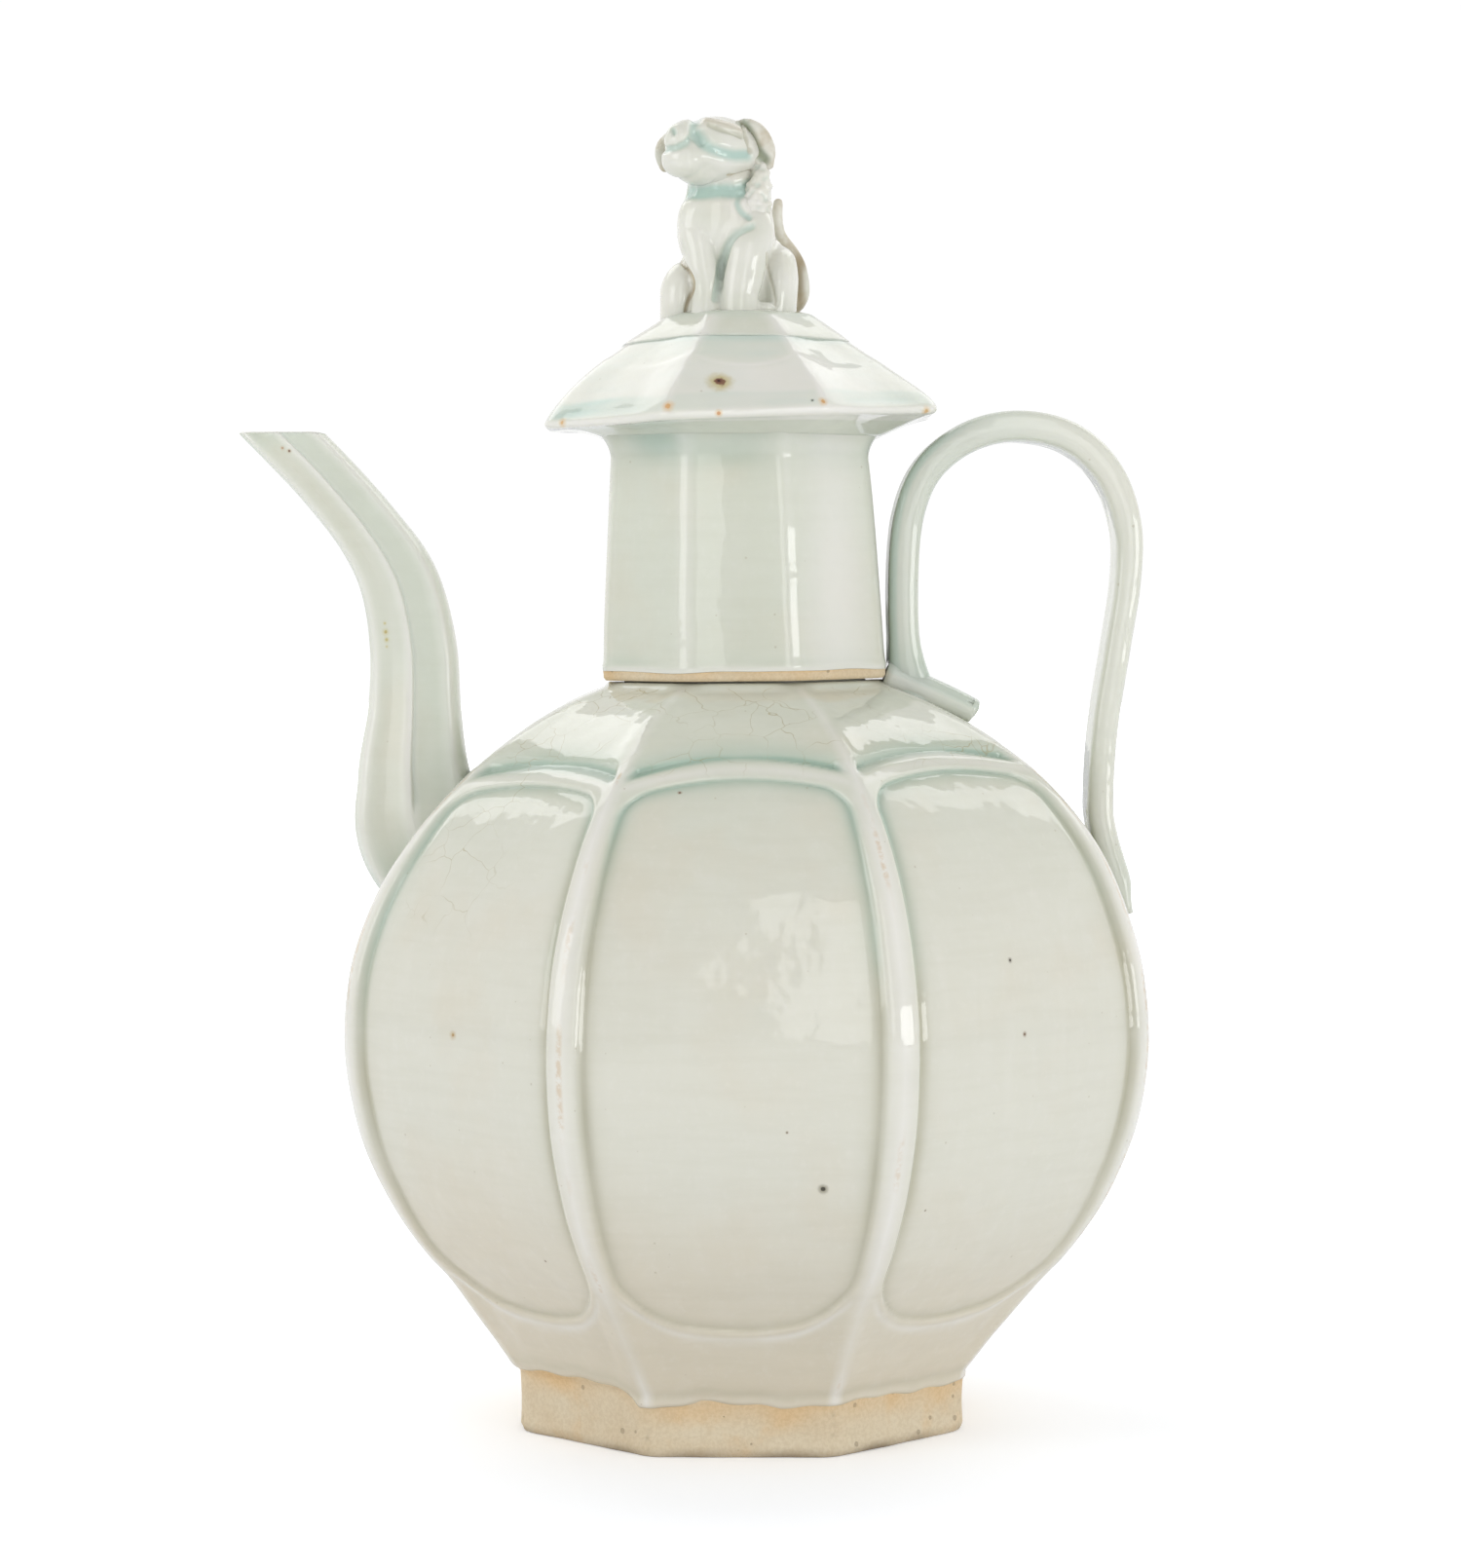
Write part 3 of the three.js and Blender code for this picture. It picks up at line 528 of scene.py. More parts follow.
def wire_specks(net, given, look):
    """Fine dark iron specks, sparse and uneven in size."""
    cells = net.add("ShaderNodeTexVoronoi", given["Place"], feature="F1")
    net.set(cells, Scale=given["Scale"])
    chance = net.add("ShaderNodeSeparateColor", cells.outputs["Color"]).outputs[0]
    size = net.math("MULTIPLY", net.ramp(chance, 0.7, 1.0), given["Size"])
    near = net.math("SUBTRACT", size, cells.outputs["Distance"])
    return {"Mask": net.ramp(near, -0.01, 0.04)}


def wire_spot(net, given, look):
    """One iron spot: a dark core in a ragged brown halo."""
    ragged = net.math("SUBTRACT", net.noise(given["Place"], 900.0), 0.5)
    wavy = net.math("MULTIPLY", ragged, given["Radius"])
    away = net.vector("DISTANCE", given["Place"], given["Centre"])
    uneven = net.math("ADD", away, net.math("MULTIPLY", wavy, 0.9))
    part = net.math("DIVIDE", uneven, given["Radius"])
    return {"Core": net.ramp(part, 0.75, 0.45), "Halo": net.ramp(part, 2.0, 0.6)}


CRACK_WANDER = 0.006


def wire_crackle(net, given, look):
    """Fine brown cracks in the glaze, where a slow noise lets them show."""
    bent = net.add("ShaderNodeTexNoise", noise_dimensions="3D")
    net.set(bent, Vector=given["Place"], Scale=160.0)
    wander = net.vector("SCALE", bent.outputs["Color"], None, None, CRACK_WANDER)
    place = net.vector("ADD", given["Place"], wander)
    cells = net.add("ShaderNodeTexVoronoi", place, feature="DISTANCE_TO_EDGE")
    net.set(cells, Scale=given["Scale"])
    line = net.ramp(cells.outputs["Distance"], 0.013, 0.002)
    patches = net.ramp(net.noise(given["Place"], 70.0), 0.42, 0.6)
    return {"Mask": net.math("MULTIPLY", net.math("MULTIPLY", line, patches), given["Strength"])}


# Heights between which the glaze changes its colour, lower one first
PALE_FROM = (0.085, 0.125)
WARM_UNDER = (0.018, 0.062)
COOL_FROM = (0.068, 0.122)
BLUE_FROM = (0.172, 0.19)
HEIGHT_DRIFT = 0.05
POOL_DRIFT = 0.11


def even_glaze(net, place, height, clouds, look):
    """Even glaze: paler high up, warmer low down, streaked and mottled."""
    even = net.blend(net.ramp(height, *PALE_FROM[::-1]), look.pale[:], look.cream[:])
    even = net.blend(net.ramp(height, *WARM_UNDER[::-1]), even, look.warm[:])
    even = net.tint(even, net.ramp(clouds, 0.5, 0.72), 0.34, look.warm[:])
    streak = net.noise(net.vector("MULTIPLY", place, (1.0, 1.0, 0.12)), 260.0)
    even = net.tint(even, net.ramp(streak, 0.45, 0.75), 0.08, look.thin[:])
    wiped = net.noise(net.vector("MULTIPLY", place, (1.0, 1.0, 9.0)), 60.0, detail=3.0, roughness=0.6)
    even = net.tint(even, net.ramp(wiped, 0.4, 0.7), 0.06, look.olive[:])
    mottle = net.noise(place, 620.0, detail=3.0, roughness=0.65)
    return net.tint(even, net.ramp(mottle, 0.5, 0.8), 0.14, look.thin[:])


def pooled_glaze(net, place, z, height, look):
    """Pooled glaze: olive low down, then green, then blue on the cover."""
    patchy = net.math("MULTIPLY", net.math("SUBTRACT", net.noise(place, 27.0), 0.5), POOL_DRIFT)
    pooled = net.blend(net.ramp(net.math("ADD", height, patchy), *COOL_FROM), look.olive[:], look.cool[:])
    return net.blend(net.ramp(z, *BLUE_FROM), pooled, look.blue[:])


def wire_glaze(net, given, look):
    """Colour of the glaze, by how thick it lies and how high on the ewer."""
    place = given["Place"]
    z = net.add("ShaderNodeSeparateXYZ", place).outputs["Z"]
    clouds = net.noise(place, 38.0, detail=3.0, roughness=0.55)
    drift = net.noise(place, 14.0)
    height = net.math("ADD", z, net.math("MULTIPLY", net.math("SUBTRACT", drift, 0.5), HEIGHT_DRIFT))
    even = even_glaze(net, place, height, clouds, look)
    pooled = pooled_glaze(net, place, z, height, look)
    pool = net.math("MULTIPLY", given["Pool"], net.ramp(clouds, 0.25, 0.6, 0.72, 1.05), clamp=True)
    body = net.blend(pool, even, pooled)
    thin = net.math("MULTIPLY", given["Thin"], net.ramp(clouds, 0.3, 0.7, 0.6, 1.0), clamp=True)
    return {"Color": net.blend(thin, body, look.thin[:])}


PALE_CLAY = (0.68, 0.60, 0.45, 1)
CLAY_DIRT = (0.17, 0.12, 0.07, 1)


def wire_clay(net, given, look):
    """Bare clay: mottled buff with dirt, pits and orange flashing."""
    place = given["Place"]
    blotch = net.noise(place, 75.0, detail=4.0, roughness=0.6)
    grain = net.noise(place, 1500.0, detail=2.0, roughness=0.7)
    base = net.blend(net.ramp(blotch, 0.35, 0.7), look.bare[:], PALE_CLAY)
    rusty = net.ramp(net.noise(place, 120.0, detail=3.0, roughness=0.6), 0.52, 0.68)
    base = net.tint(base, rusty, 0.35, look.flash[:])
    spread = net.ramp(net.noise(place, 60.0, detail=3.0), 0.3, 0.7, 0.25, 1.0)
    flushed = net.blend(net.math("MULTIPLY", given["Flash"], spread, clamp=True), base, look.flash[:])
    dirty = net.tint(flushed, given["Dirt"], 0.75, CLAY_DIRT)
    grains = net.ramp(grain, 0.35, 0.65, 0.0, 0.22)
    grainy = net.blend(grains, dirty, look.bare[:], "MULTIPLY")
    pits = net.group("Iron specks", place, Scale=430.0, Size=0.26)["Mask"]
    holes = net.group("Iron specks", place, Scale=150.0, Size=0.09)["Mask"]
    pitted = net.tint(grainy, pits, 0.4, CLAY_DIRT)
    relief = net.math("SUBTRACT", net.math("MULTIPLY", blotch, 0.5), net.math("MULTIPLY", pits, 0.6))
    return {"Color": net.tint(pitted, holes, 0.85, look.iron[:]), "Height": relief}


# How each group is wired, its inputs after the place, and what it puts out
GROUP_KINDS = {
    "Iron specks": (wire_specks, {"Scale": 90.0, "Size": 0.1}, ["Mask"]),
    "Iron spot": (wire_spot, {"Centre": None, "Radius": 0.001}, ["Core", "Halo"]),
    "Crackle": (wire_crackle, {"Scale": 125.0, "Strength": 0.0}, ["Mask"]),
    "Celadon glaze": (wire_glaze, {"Pool": 0.0, "Thin": 0.0}, ["Color"]),
    "Bare clay": (wire_clay, {"Flash": 0.0, "Dirt": 0.0}, ["Color", "Height"]),
}

GLOSS = 0.05
MATT = 0.8
RIPPLE_HEIGHT = 0.0003
CLAY_HEIGHT = 0.0002
GLAZE_DEPTH = (0.004, 0.004, 0.003)
BROWN_SPECK = (0.30, 0.24, 0.13, 1)
CRACK_BROWN = (0.36, 0.30, 0.15, 1)
RUST_LINE = (0.56, 0.40, 0.22, 1)


def new_material(name):
    """Empty material, its net, and the place on the ewer."""
    material = bpy.data.materials.new(name)
    material.use_nodes = True
    net = Net(material.node_tree)
    net.tree.nodes.clear()
    return material, net, net.add("ShaderNodeTexCoord").outputs["Object"]


def add_surface(net, base, rough, height, distance):
    """The material's shader, raised by a height times a distance."""
    bump = net.add("ShaderNodeBump")
    net.set(bump, Distance=distance, Height=height)
    shader = net.add("ShaderNodeBsdfPrincipled")
    net.set(shader, Base_Color=base, Roughness=rough, Normal=bump.outputs[0])
    out = net.add("ShaderNodeOutputMaterial")
    net.set(out, Surface=shader.outputs[0])
    return shader


def speckled(net, base, place, speck_size, look):
    """Iron specks in the glaze: many fine brown ones and a few dark ones."""
    specks = net.group("Iron specks", place, Scale=110.0, Size=speck_size * 0.35)["Mask"]
    fine = net.group("Iron specks", place, Scale=380.0, Size=speck_size)["Mask"]
    base = net.tint(base, fine, 0.3, BROWN_SPECK)
    return net.tint(base, specks, 0.7, look.iron[:])


def rusted(net, base, place, thin, rust):
    """Broken lines of rust along the crests."""
    crest = net.math("MULTIPLY", net.ramp(thin, 0.72, 0.95), net.ramp(net.noise(place, 45.0), 0.44, 0.58))
    broken = net.ramp(net.noise(place, 700.0, detail=3.0, roughness=0.7), 0.36, 0.6)
    return net.tint(base, net.math("MULTIPLY", crest, broken), rust, RUST_LINE)


def spotted(net, base, place, spots):
    """Larger iron spots, by centre, radius, core and halo."""
    for centre, radius, core, halo in spots:
        spot = net.group("Iron spot", place, Centre=centre, Radius=radius)
        base = net.tint(base, spot["Halo"], 0.7, halo)
        base = net.tint(base, spot["Core"], 0.9, core)
    return base


def glazed_material(name, crackle=0.0, speck_size=0.1, rust=0.25, spots=(), roughness=GLOSS):
    """Celadon over clay. The mesh's marks say where it pools, runs thin or ends, and on the sleeve and the
    roof also where highlight and shade are painted.
    """
    look = bpy.context.scene.ewer_look
    material, net, place = new_material(name)
    pool, thin, bare = (net.mark(key) for key in ("pool", "thin", "bare"))
    glaze = net.group("Celadon glaze", place, Pool=pool, Thin=thin)["Color"]
    glaze = speckled(net, glaze, place, speck_size, look)
    glaze = rusted(net, glaze, place, thin, rust)
    if crackle:
        strength = net.math("MULTIPLY", net.mark("crackle"), crackle)
        cracks = net.group("Crackle", place, Strength=strength)["Mask"]
        glaze = net.blend(cracks, glaze, CRACK_BROWN)
    glaze = spotted(net, glaze, place, spots)
    stain = net.mark("stain")
    glaze = net.tint(glaze, stain, 0.85, look.toasted[:])
    clay = net.group("Bare clay", place, Flash=net.ramp(bare, 1.0, 0.6), Dirt=stain)
    edge = net.ramp(bare, 0.42, 0.58)
    base = net.blend(edge, glaze, clay["Color"])
    rough = net.math("ADD", roughness, net.math("MULTIPLY", edge, MATT - roughness))
    glazed = net.ramp(edge, 0.0, 1.0, 1.0, 0.0)
    ripples = net.math("MULTIPLY", net.noise(place, 130.0, detail=2.0, roughness=0.4), glazed)
    pitting = net.math("MULTIPLY", net.math("MULTIPLY", clay["Height"], edge), CLAY_HEIGHT)
    height = net.math("ADD", net.math("MULTIPLY", ripples, RIPPLE_HEIGHT), pitting)
    shader = add_surface(net, base, rough, height, 1.0)
    net.set(shader, IOR=1.5, Subsurface_Weight=0.12, Subsurface_Radius=GLAZE_DEPTH, Subsurface_Scale=1.0)
    return material


GREEN_WASH = (0.22, 0.27, 0.17, 1)
DARK_BROWN = (0.22, 0.155, 0.06, 1)
TOASTED_HEIGHT = 0.0002


def toasted_material():
    """Brown clay under a dry skin of glaze, on the lion's ears and tail."""
    look = bpy.context.scene.ewer_look
    material, net, place = new_material("Toasted clay")
    glaze = net.group("Celadon glaze", place, Pool=net.mark("pool"), Thin=0.4)["Color"]
    blotch = net.noise(place, 190.0, detail=3.0, roughness=0.6)
    base = net.blend(net.ramp(blotch, 0.38, 0.62, 0.1, 0.62), glaze, look.toasted[:])
    base = net.tint(base, net.mark("pool"), 0.8, GREEN_WASH)
    base = net.tint(base, net.mark("stain"), 0.72, DARK_BROWN)
    rough = net.ramp(blotch, 0.3, 0.7, 0.28, 0.55)
    add_surface(net, base, rough, net.noise(place, 420.0, detail=3.0), TOASTED_HEIGHT)
    return material


# The view of the photograph
PHOTO_WIDTH, PHOTO_HEIGHT = 1500, 1610
FOCAL_PIXELS = 4250
SENSOR = 36.0
CAMERA_PLACE = Vector((AXIS_X - 0.00271, -0.7688, 0.1586))
CAMERA_DIP = math.radians(3.03)


def pixel_ray(column, row):
    """Direction from the camera through a pixel of the photograph."""
    right = (column - PHOTO_WIDTH / 2) / FOCAL_PIXELS
    down = (row - PHOTO_HEIGHT / 2) / FOCAL_PIXELS
    ahead = Vector((0, math.cos(CAMERA_DIP), -math.sin(CAMERA_DIP)))
    up = Vector((0, math.sin(CAMERA_DIP), math.cos(CAMERA_DIP)))
    return (ahead + Vector((right, 0, 0)) - up * down).normalized()


def spots_on(points, faces, rows):
    """Spots set where the surface shows at their column and row in the photograph."""
    tree = BVHTree.FromPolygons(np.asarray(points).tolist(), faces)
    spots = []
    for column, row, radius, core, halo in rows:
        hit = tree.ray_cast(CAMERA_PLACE, pixel_ray(column, row))[0]
        if hit is None:
            raise RuntimeError(f"no surface at pixel {column}, {row}")
        spots.append((tuple(hit), radius, core, halo))
    return spots


# Body

SKIRT_Z = FOOT_TOP + 0.0027
BODY_STRETCHES = (
    (SKIRT_Z, 0.023, 0.001), (0.023, 0.035, 0.0004), (0.035, 0.1155, 0.0014), (0.1155, 0.127, 0.0003),
)
SHOULDER_FROM, SHOULDER_STEP = 0.127, 0.0006
SKIRT_SHARES = (0, 0.03, 0.07, 0.12, 0.19, 0.28, 0.4, 0.52, 0.64, 0.76, 0.88)
GLAZE_LINE_SHARES = [
    (0, -0.6), (22.5, 0.0), (45, 0.4), (67.5, -0.2), (90, 0.2), (112.5, -0.3), (135, 0.5), (157.5, 0.1),
    (180, 0.6), (200, 0.8), (212, 1.5), (228, 1.8), (239, 0.9), (243, 0.0), (245, -1.2), (249, -1.3),
    (253, -0.8), (260, 0.0), (266, -0.5), (280, -1.1), (292.5, -0.6), (303, -0.7), (318, -0.8), (330, -1.0),
    (345, -0.9), (360, -0.6),
]
GLAZE_LINE_SWING = 0.0011
GLAZE_LINE_RAGGED = 0.00018


def body_radius(height, form):
    """Corner radius of the body: a cone over the foot, then an oval."""
    rise = np.where(height < form.widest_z, form.lower_rise, form.upper_rise)
    oval = BODY_RADIUS * np.sqrt(np.clip(1 - ((height - form.widest_z) / rise) ** 2, 0, 1))
    joint = BODY_RADIUS * math.sqrt(1 - ((form.band_top - form.widest_z) / form.lower_rise) ** 2)
    part = (height - FOOT_TOP) / (form.band_top - FOOT_TOP)
    return np.where(part < 1, mix(FOOT_RADIUS, joint, np.clip(part, 0, 1)), oval)


def face_distance(height, form):
    """Distance from the axis to the middle of a face of the body."""
    return float(body_radius(np.array(height), form)) * FLAT


def shoulder_height(form):
    """Height at which the body's oval reaches the seat for the cover."""
    return form.widest_z + form.upper_rise * math.sqrt(1 - (form.seat_radius / BODY_RADIUS) ** 2)


def along_surface(form):
    """Function from height to the way up the middle of a face."""
    heights = np.linspace(FOOT_TOP, SEAT_Z, 600)
    out = body_radius(heights, form) * FLAT
    run = np.append(0, np.cumsum(np.hypot(np.diff(out), np.diff(heights))))
    return lambda height: np.interp(height, heights, run)


def soft_inside(first, second, rounding):
    """Distance inside two edges at once, with their corner rounded."""
    corner = rounding - np.hypot(np.clip(rounding - first, 0, None), np.clip(rounding - second, 0, None))
    return np.where((first > rounding) & (second > rounding), np.minimum(first, second), corner)


def valley(distance, before, after):
    """A groove's share of its depth: 1 at distance 0, down to 0 on either side."""
    part = np.where(distance < 0, 1 + distance / before, 1 - distance / after)
    return np.clip(part, 0, 1) ** 2


def glaze_line(angle, form):
    """Height at which the glaze ends over the foot, by angle about the axis."""
    turn = np.degrees(angle) % 360
    degrees, shares = zip(*GLAZE_LINE_SHARES)
    ragged = GLAZE_LINE_RAGGED * (np.sin(np.radians(turn * 11)) + np.sin(np.radians(turn * 29 + 40)))
    return form.glaze_z + GLAZE_LINE_SWING * np.interp(turn, degrees, shares) + ragged


# Where the warp grows, and its share at the seat
WARP_OVER_WIDEST, WARP_UNDER_TOP, WARP_EASES_UNDER_TOP = 0.0095, 0.009, 0.003
WARP_AT_SEAT_SHARE = 0.35


def warped(points, form):
    """The body's points, its shoulder sunk at the spout and risen at the handle."""
    height = points[:, 2]
    grown = ramp(form.widest_z + WARP_OVER_WIDEST, form.panel_top - WARP_UNDER_TOP, height)
    grown = grown * mix(1, WARP_AT_SEAT_SHARE, ramp(form.panel_top - WARP_EASES_UNDER_TOP, SEAT_Z, height))
    return raised(points, form.warp * grown * (points[:, 0] - AXIS_X) / BODY_RADIUS)


# Lengths of the relief. A groove has one before and one after its bottom.
PANEL_CORNER, PANEL_FOOT_CORNER = 0.0042, 0.009
FLANK, ROLL = 0.0013, 0.0026
SWELL_REACH = 0.022
BAND_BEFORE, BAND_BEFORE_LEFT, BAND_AFTER = 0.0016, 0.0020, 0.0048
SHOULDER_START, SHOULDER_END = 0.0005, 0.004
RIDGE_FOOT = 0.003
# Heights over the foot and about the cone's top between which the second hollow lies
SKIRT_RISES, SKIRT_FALLS = (0.0015, 0.0075), (0.003, -0.004)
LIP_FALLS = (0.002, -0.003)
SKIRT_INSIDE, LIP_INSIDE = (0.0, -0.004), (-0.0012, -0.003)
SKIRT_HOLLOW, SKIRT_HOLLOW_PLACE, SKIRT_HOLLOW_WIDTH = 0.0004, 0.0052, 0.0024
LIP_DEPTH = 0.0003
FOOT_CORNER_WIDTH = 0.0026
SEAM_DEPTH, SEAM_WIDTH = 0.00006, 0.0006
COARSE_UNEVEN, COARSE_LUMP = 0.00013, 0.034
FINE_UNEVEN, FINE_LUMP = 0.0001, 0.013
LIP_RISE, LIP_CREST, LIP_WIDTH = 0.0005, 0.0012, 0.0009
LEFT_FACE, LEFT_SPREAD = math.radians(225), 0.4


class BodyLines:
    """How far each point of the body lies from the lines of its relief."""

    def __init__(self, rings, form, foot):
        way = along_surface(form)
        run = way(rings.z)
        self.rib = form.rib_share * rings.radius
        self.across = np.abs(rings.across)
        self.on_left = bell(rings.angle, LEFT_FACE, LEFT_SPREAD)
        slipped = form.slip * self.on_left
        top_run = way(form.panel_top) - form.panel_droop * self.across ** 2 - slipped
        band_run = way(form.band_groove) - form.band_droop * self.across ** 2 - slipped
        over_foot = run - way(form.panel_foot + form.panel_sag * self.across ** 2)
        self.under_top = top_run - run
        self.over_band = run - band_run
        self.from_bead = run - (top_run + band_run) / 2
        beside = rings.from_corner - self.rib
        upper = soft_inside(beside, self.under_top, PANEL_CORNER)
        self.inside = soft_inside(upper, over_foot, PANEL_FOOT_CORNER)
        self.over_glaze_line = rings.z - glaze_line(rings.angle, foot)
        self.shoulder = ramp(SHOULDER_START, SHOULDER_END, self.over_band)
        self.band_fade = (1 - ramp(0.87, 0.97, self.across)) * (0.72 + 0.85 * self.across)
        over_ring = ramp(FOOT_TOP + SKIRT_RISES[0], FOOT_TOP + SKIRT_RISES[1], rings.z)
        self.skirt = ramp(*SKIRT_INSIDE, self.inside) * self.under_cone(rings, form, SKIRT_FALLS) * over_ring
        self.lip = ramp(*LIP_INSIDE, self.inside) * self.under_cone(rings, form, LIP_FALLS) * over_ring

    def under_cone(self, rings, form, falls):
        return ramp(form.band_top + falls[0], form.band_top + falls[1], rings.z)


def panel_relief(rings, lines, form):
    """Sink of the groove round a panel, less the panel's own swell."""
    groove = valley(lines.inside, FLANK, ROLL)
    settled = 1 - (1 - np.clip(lines.inside / ROLL, 0, 1)) ** 2
    swell = 1 - (1 - np.clip(lines.inside / SWELL_REACH, 0, 1)) ** 2
    shallow = mix(0.75, 1.0, ramp(form.band_top, 2 * form.band_top, rings.z))
    sink = form.groove_depth * shallow * np.where(lines.inside < 0, groove, 1 - settled)
    return sink + form.panel_sink * settled - form.panel_bulge * swell


def shoulder_relief(rings, lines, form):
    """Sink of the groove over the bead and of the shoulder's hollow faces."""
    before = BAND_BEFORE + BAND_BEFORE_LEFT * lines.on_left
    band = valley(lines.over_band, before, BAND_AFTER) * lines.band_fade
    faces = ramp(lines.rib * 0.6, lines.rib * 1.3 + RIDGE_FOOT, rings.from_corner)
    return form.band_depth * band + form.hollow * lines.shoulder * faces


def skirt_relief(rings, lines):
    """Sink of the second hollow beside the ribs over the foot."""
    hollow = bell(rings.from_corner, SKIRT_HOLLOW_PLACE, SKIRT_HOLLOW_WIDTH)
    return SKIRT_HOLLOW * hollow * lines.skirt + LIP_DEPTH * lines.lip


def hand_relief(rings, lines, form):
    """Sink of the soft corners, the seam and the hand-made unevenness."""
    rising = ramp(FOOT_TOP, form.band_top, rings.z)
    width = mix(FOOT_CORNER_WIDTH, lines.rib * mix(0.85, 1.45, lines.shoulder), rising)
    seam = SEAM_DEPTH * bell(rings.z, SEAM_Z, SEAM_WIDTH)
    coarse = COARSE_UNEVEN * (1 + rings.lumps(COARSE_LUMP))
    fine = FINE_UNEVEN * (1 + rings.lumps(FINE_LUMP, 2.0))
    return corner_drop(rings.from_corner, width) + seam + (coarse + fine) * rising


def lip_relief(rings, lines, form, foot):
    """Sink, less than nothing, of the glaze's rolled edge over the foot."""
    over_line = lines.over_glaze_line
    lip = 1.8 * ramp(0, LIP_RISE, over_line) - 0.8 + 0.8 * bell(over_line, LIP_CREST, LIP_WIDTH)
    return -foot.glaze_thickness * lip * ramp(form.band_top, FOOT_TOP, rings.z)


# Lengths of the glaze's pools and thin places on the body
POOL_LUMP = 0.021
POOL_BEFORE, POOL_AFTER, POOL_SPREAD = 0.0016, 0.0031, 0.006
DEEP_BEFORE, DEEP_BEFORE_LEFT, DEEP_AFTER = 0.0012, 0.0026, 0.0036
WIDE_BEFORE, WIDE_AFTER = 0.0020, 0.0085
BEAD_BEFORE, BEAD_AFTER, BEAD_WIDTH = 0.0042, 0.0012, 0.0011
DRIP_OVER_LINE, DRIP_WIDTH = 0.0022, 0.0009
LIP_PLACE, LIP_THIN_WIDTH = 0.0026, 0.0011
DRY_PLACE, DRY_SPREAD = math.radians(306), 0.26
CRAZED_FACE, CRAZED_SPREAD, CRAZED_FROM = math.radians(218), 0.16, (0.09, 0.098)


def body_pool(rings, lines, form):
    """Pools of glaze in the grooves, over the bead and along the edge at the foot."""
    uneven = 0.85 + 0.3 * rings.lumps(POOL_LUMP, 7.0)
    pool = 0.62 * uneven * valley(lines.inside, POOL_BEFORE, POOL_AFTER)
    pool = pool + 0.28 * valley(lines.inside, POOL_BEFORE, POOL_SPREAD)
    pool = pool * mix(0.6, 1, ramp(form.band_top, 2 * form.band_top, rings.z))
    fade = lines.band_fade * (1 - 0.85 * bell(rings.angle, DRY_PLACE, DRY_SPREAD))
    deep = 1.5 * valley(lines.over_band, DEEP_BEFORE + DEEP_BEFORE_LEFT * lines.on_left, DEEP_AFTER) * fade
    wide = 0.8 * valley(lines.over_band, WIDE_BEFORE, WIDE_AFTER) * (1 - ramp(0.86, 1.0, lines.across))
    pool = np.maximum(pool, np.maximum(deep, wide))
    on_bead = valley(lines.over_band, BEAD_BEFORE, BEAD_AFTER) * (1 - ramp(0.85, 0.97, lines.across))
    drip = bell(lines.over_glaze_line, DRIP_OVER_LINE, DRIP_WIDTH)
    return np.clip(pool + 0.4 * lines.on_left * on_bead + 0.25 * drip, 0, 1)


def body_thin(rings, lines):
    """Thin glaze over the ribs, the bead and the lip under the panels."""
    thin = rings.near_corner(lines.rib * 0.85)
    bead = bell(lines.from_bead, 0, BEAD_WIDTH) * (lines.under_top < 0)
    thin = np.maximum(thin, 0.6 * bead) * (1 - 0.5 * lines.shoulder) * (1 - 0.5 * lines.skirt)
    return np.maximum(thin, 0.75 * bell(lines.inside, -LIP_PLACE, LIP_THIN_WIDTH) * lines.lip)


def body_crackle(rings, form):
    """Crazing over the shoulder and high on the left face."""
    upper_left = bell(rings.angle, CRAZED_FACE, CRAZED_SPREAD) * ramp(*CRAZED_FROM, rings.z)
    return np.maximum(ramp(form.panel_top, form.band_groove, rings.z), upper_left)


def body_rings(form, foot, places):
    """Rings of the outside. The lowest follow the glaze's edge and the foot's octagon."""
    heights = spaced(*BODY_STRETCHES, (SHOULDER_FROM, shoulder_height(form), SHOULDER_STEP))
    level = Octagons(heights, heights, places)
    down = np.array(SKIRT_SHARES)[:, None]
    z = np.concatenate([mix(glaze_line(level.angle, foot), SKIRT_Z, down), level.z])
    rings = Octagons(body_radius(z, form), z, places, BODY_UNEVEN)
    on_foot = Octagons(z, z, places, FOOT_UNEVEN)
    settled = ramp(FOOT_TOP, form.band_top, z)
    rings.turned = mix(on_foot.turned, rings.turned, settled)
    rings.swell = mix(on_foot.swell, rings.swell, settled)
    return rings


SEAT_EDGE, SEAT_BEVEL, SEAT_STEP = 0.001, 0.0018, 0.0006
BORE_WALL = 0.0030
CAVITY_OVER_FOOT = 0.006
WELL_DROP = 0.0012
BOSS_GAP, LEDGE = 0.0003, 0.002
UNDER_SOFTNESS, CAVITY_SOFTNESS = 0.002, 0.006


def cavity_profile(form):
    """Radii and heights from the seat down the bore and the cavity to its floor."""
    bore = NECK_RADIUS - BORE_WALL
    part = bore / (BODY_RADIUS - form.wall)
    ceiling = form.widest_z + (form.upper_rise - form.wall) * math.sqrt(1 - part ** 2)
    seat = [
        (form.seat_radius - SEAT_EDGE, SEAT_Z - SEAT_STEP), (form.seat_radius - SEAT_BEVEL, SEAT_Z),
        (bore + SEAT_STEP, SEAT_Z), (bore, SEAT_Z - SEAT_STEP), (bore, ceiling)]
    heights = np.linspace(ceiling, FOOT_TOP + CAVITY_OVER_FOOT, 26)[1:]
    cavity = list(zip(body_radius(heights, form) - form.wall, heights))
    well, floor = cavity[-1]
    return seat + cavity + [(well * 0.7, floor - WELL_DROP), (well * 0.35, FLOOR_Z + form.wall)]


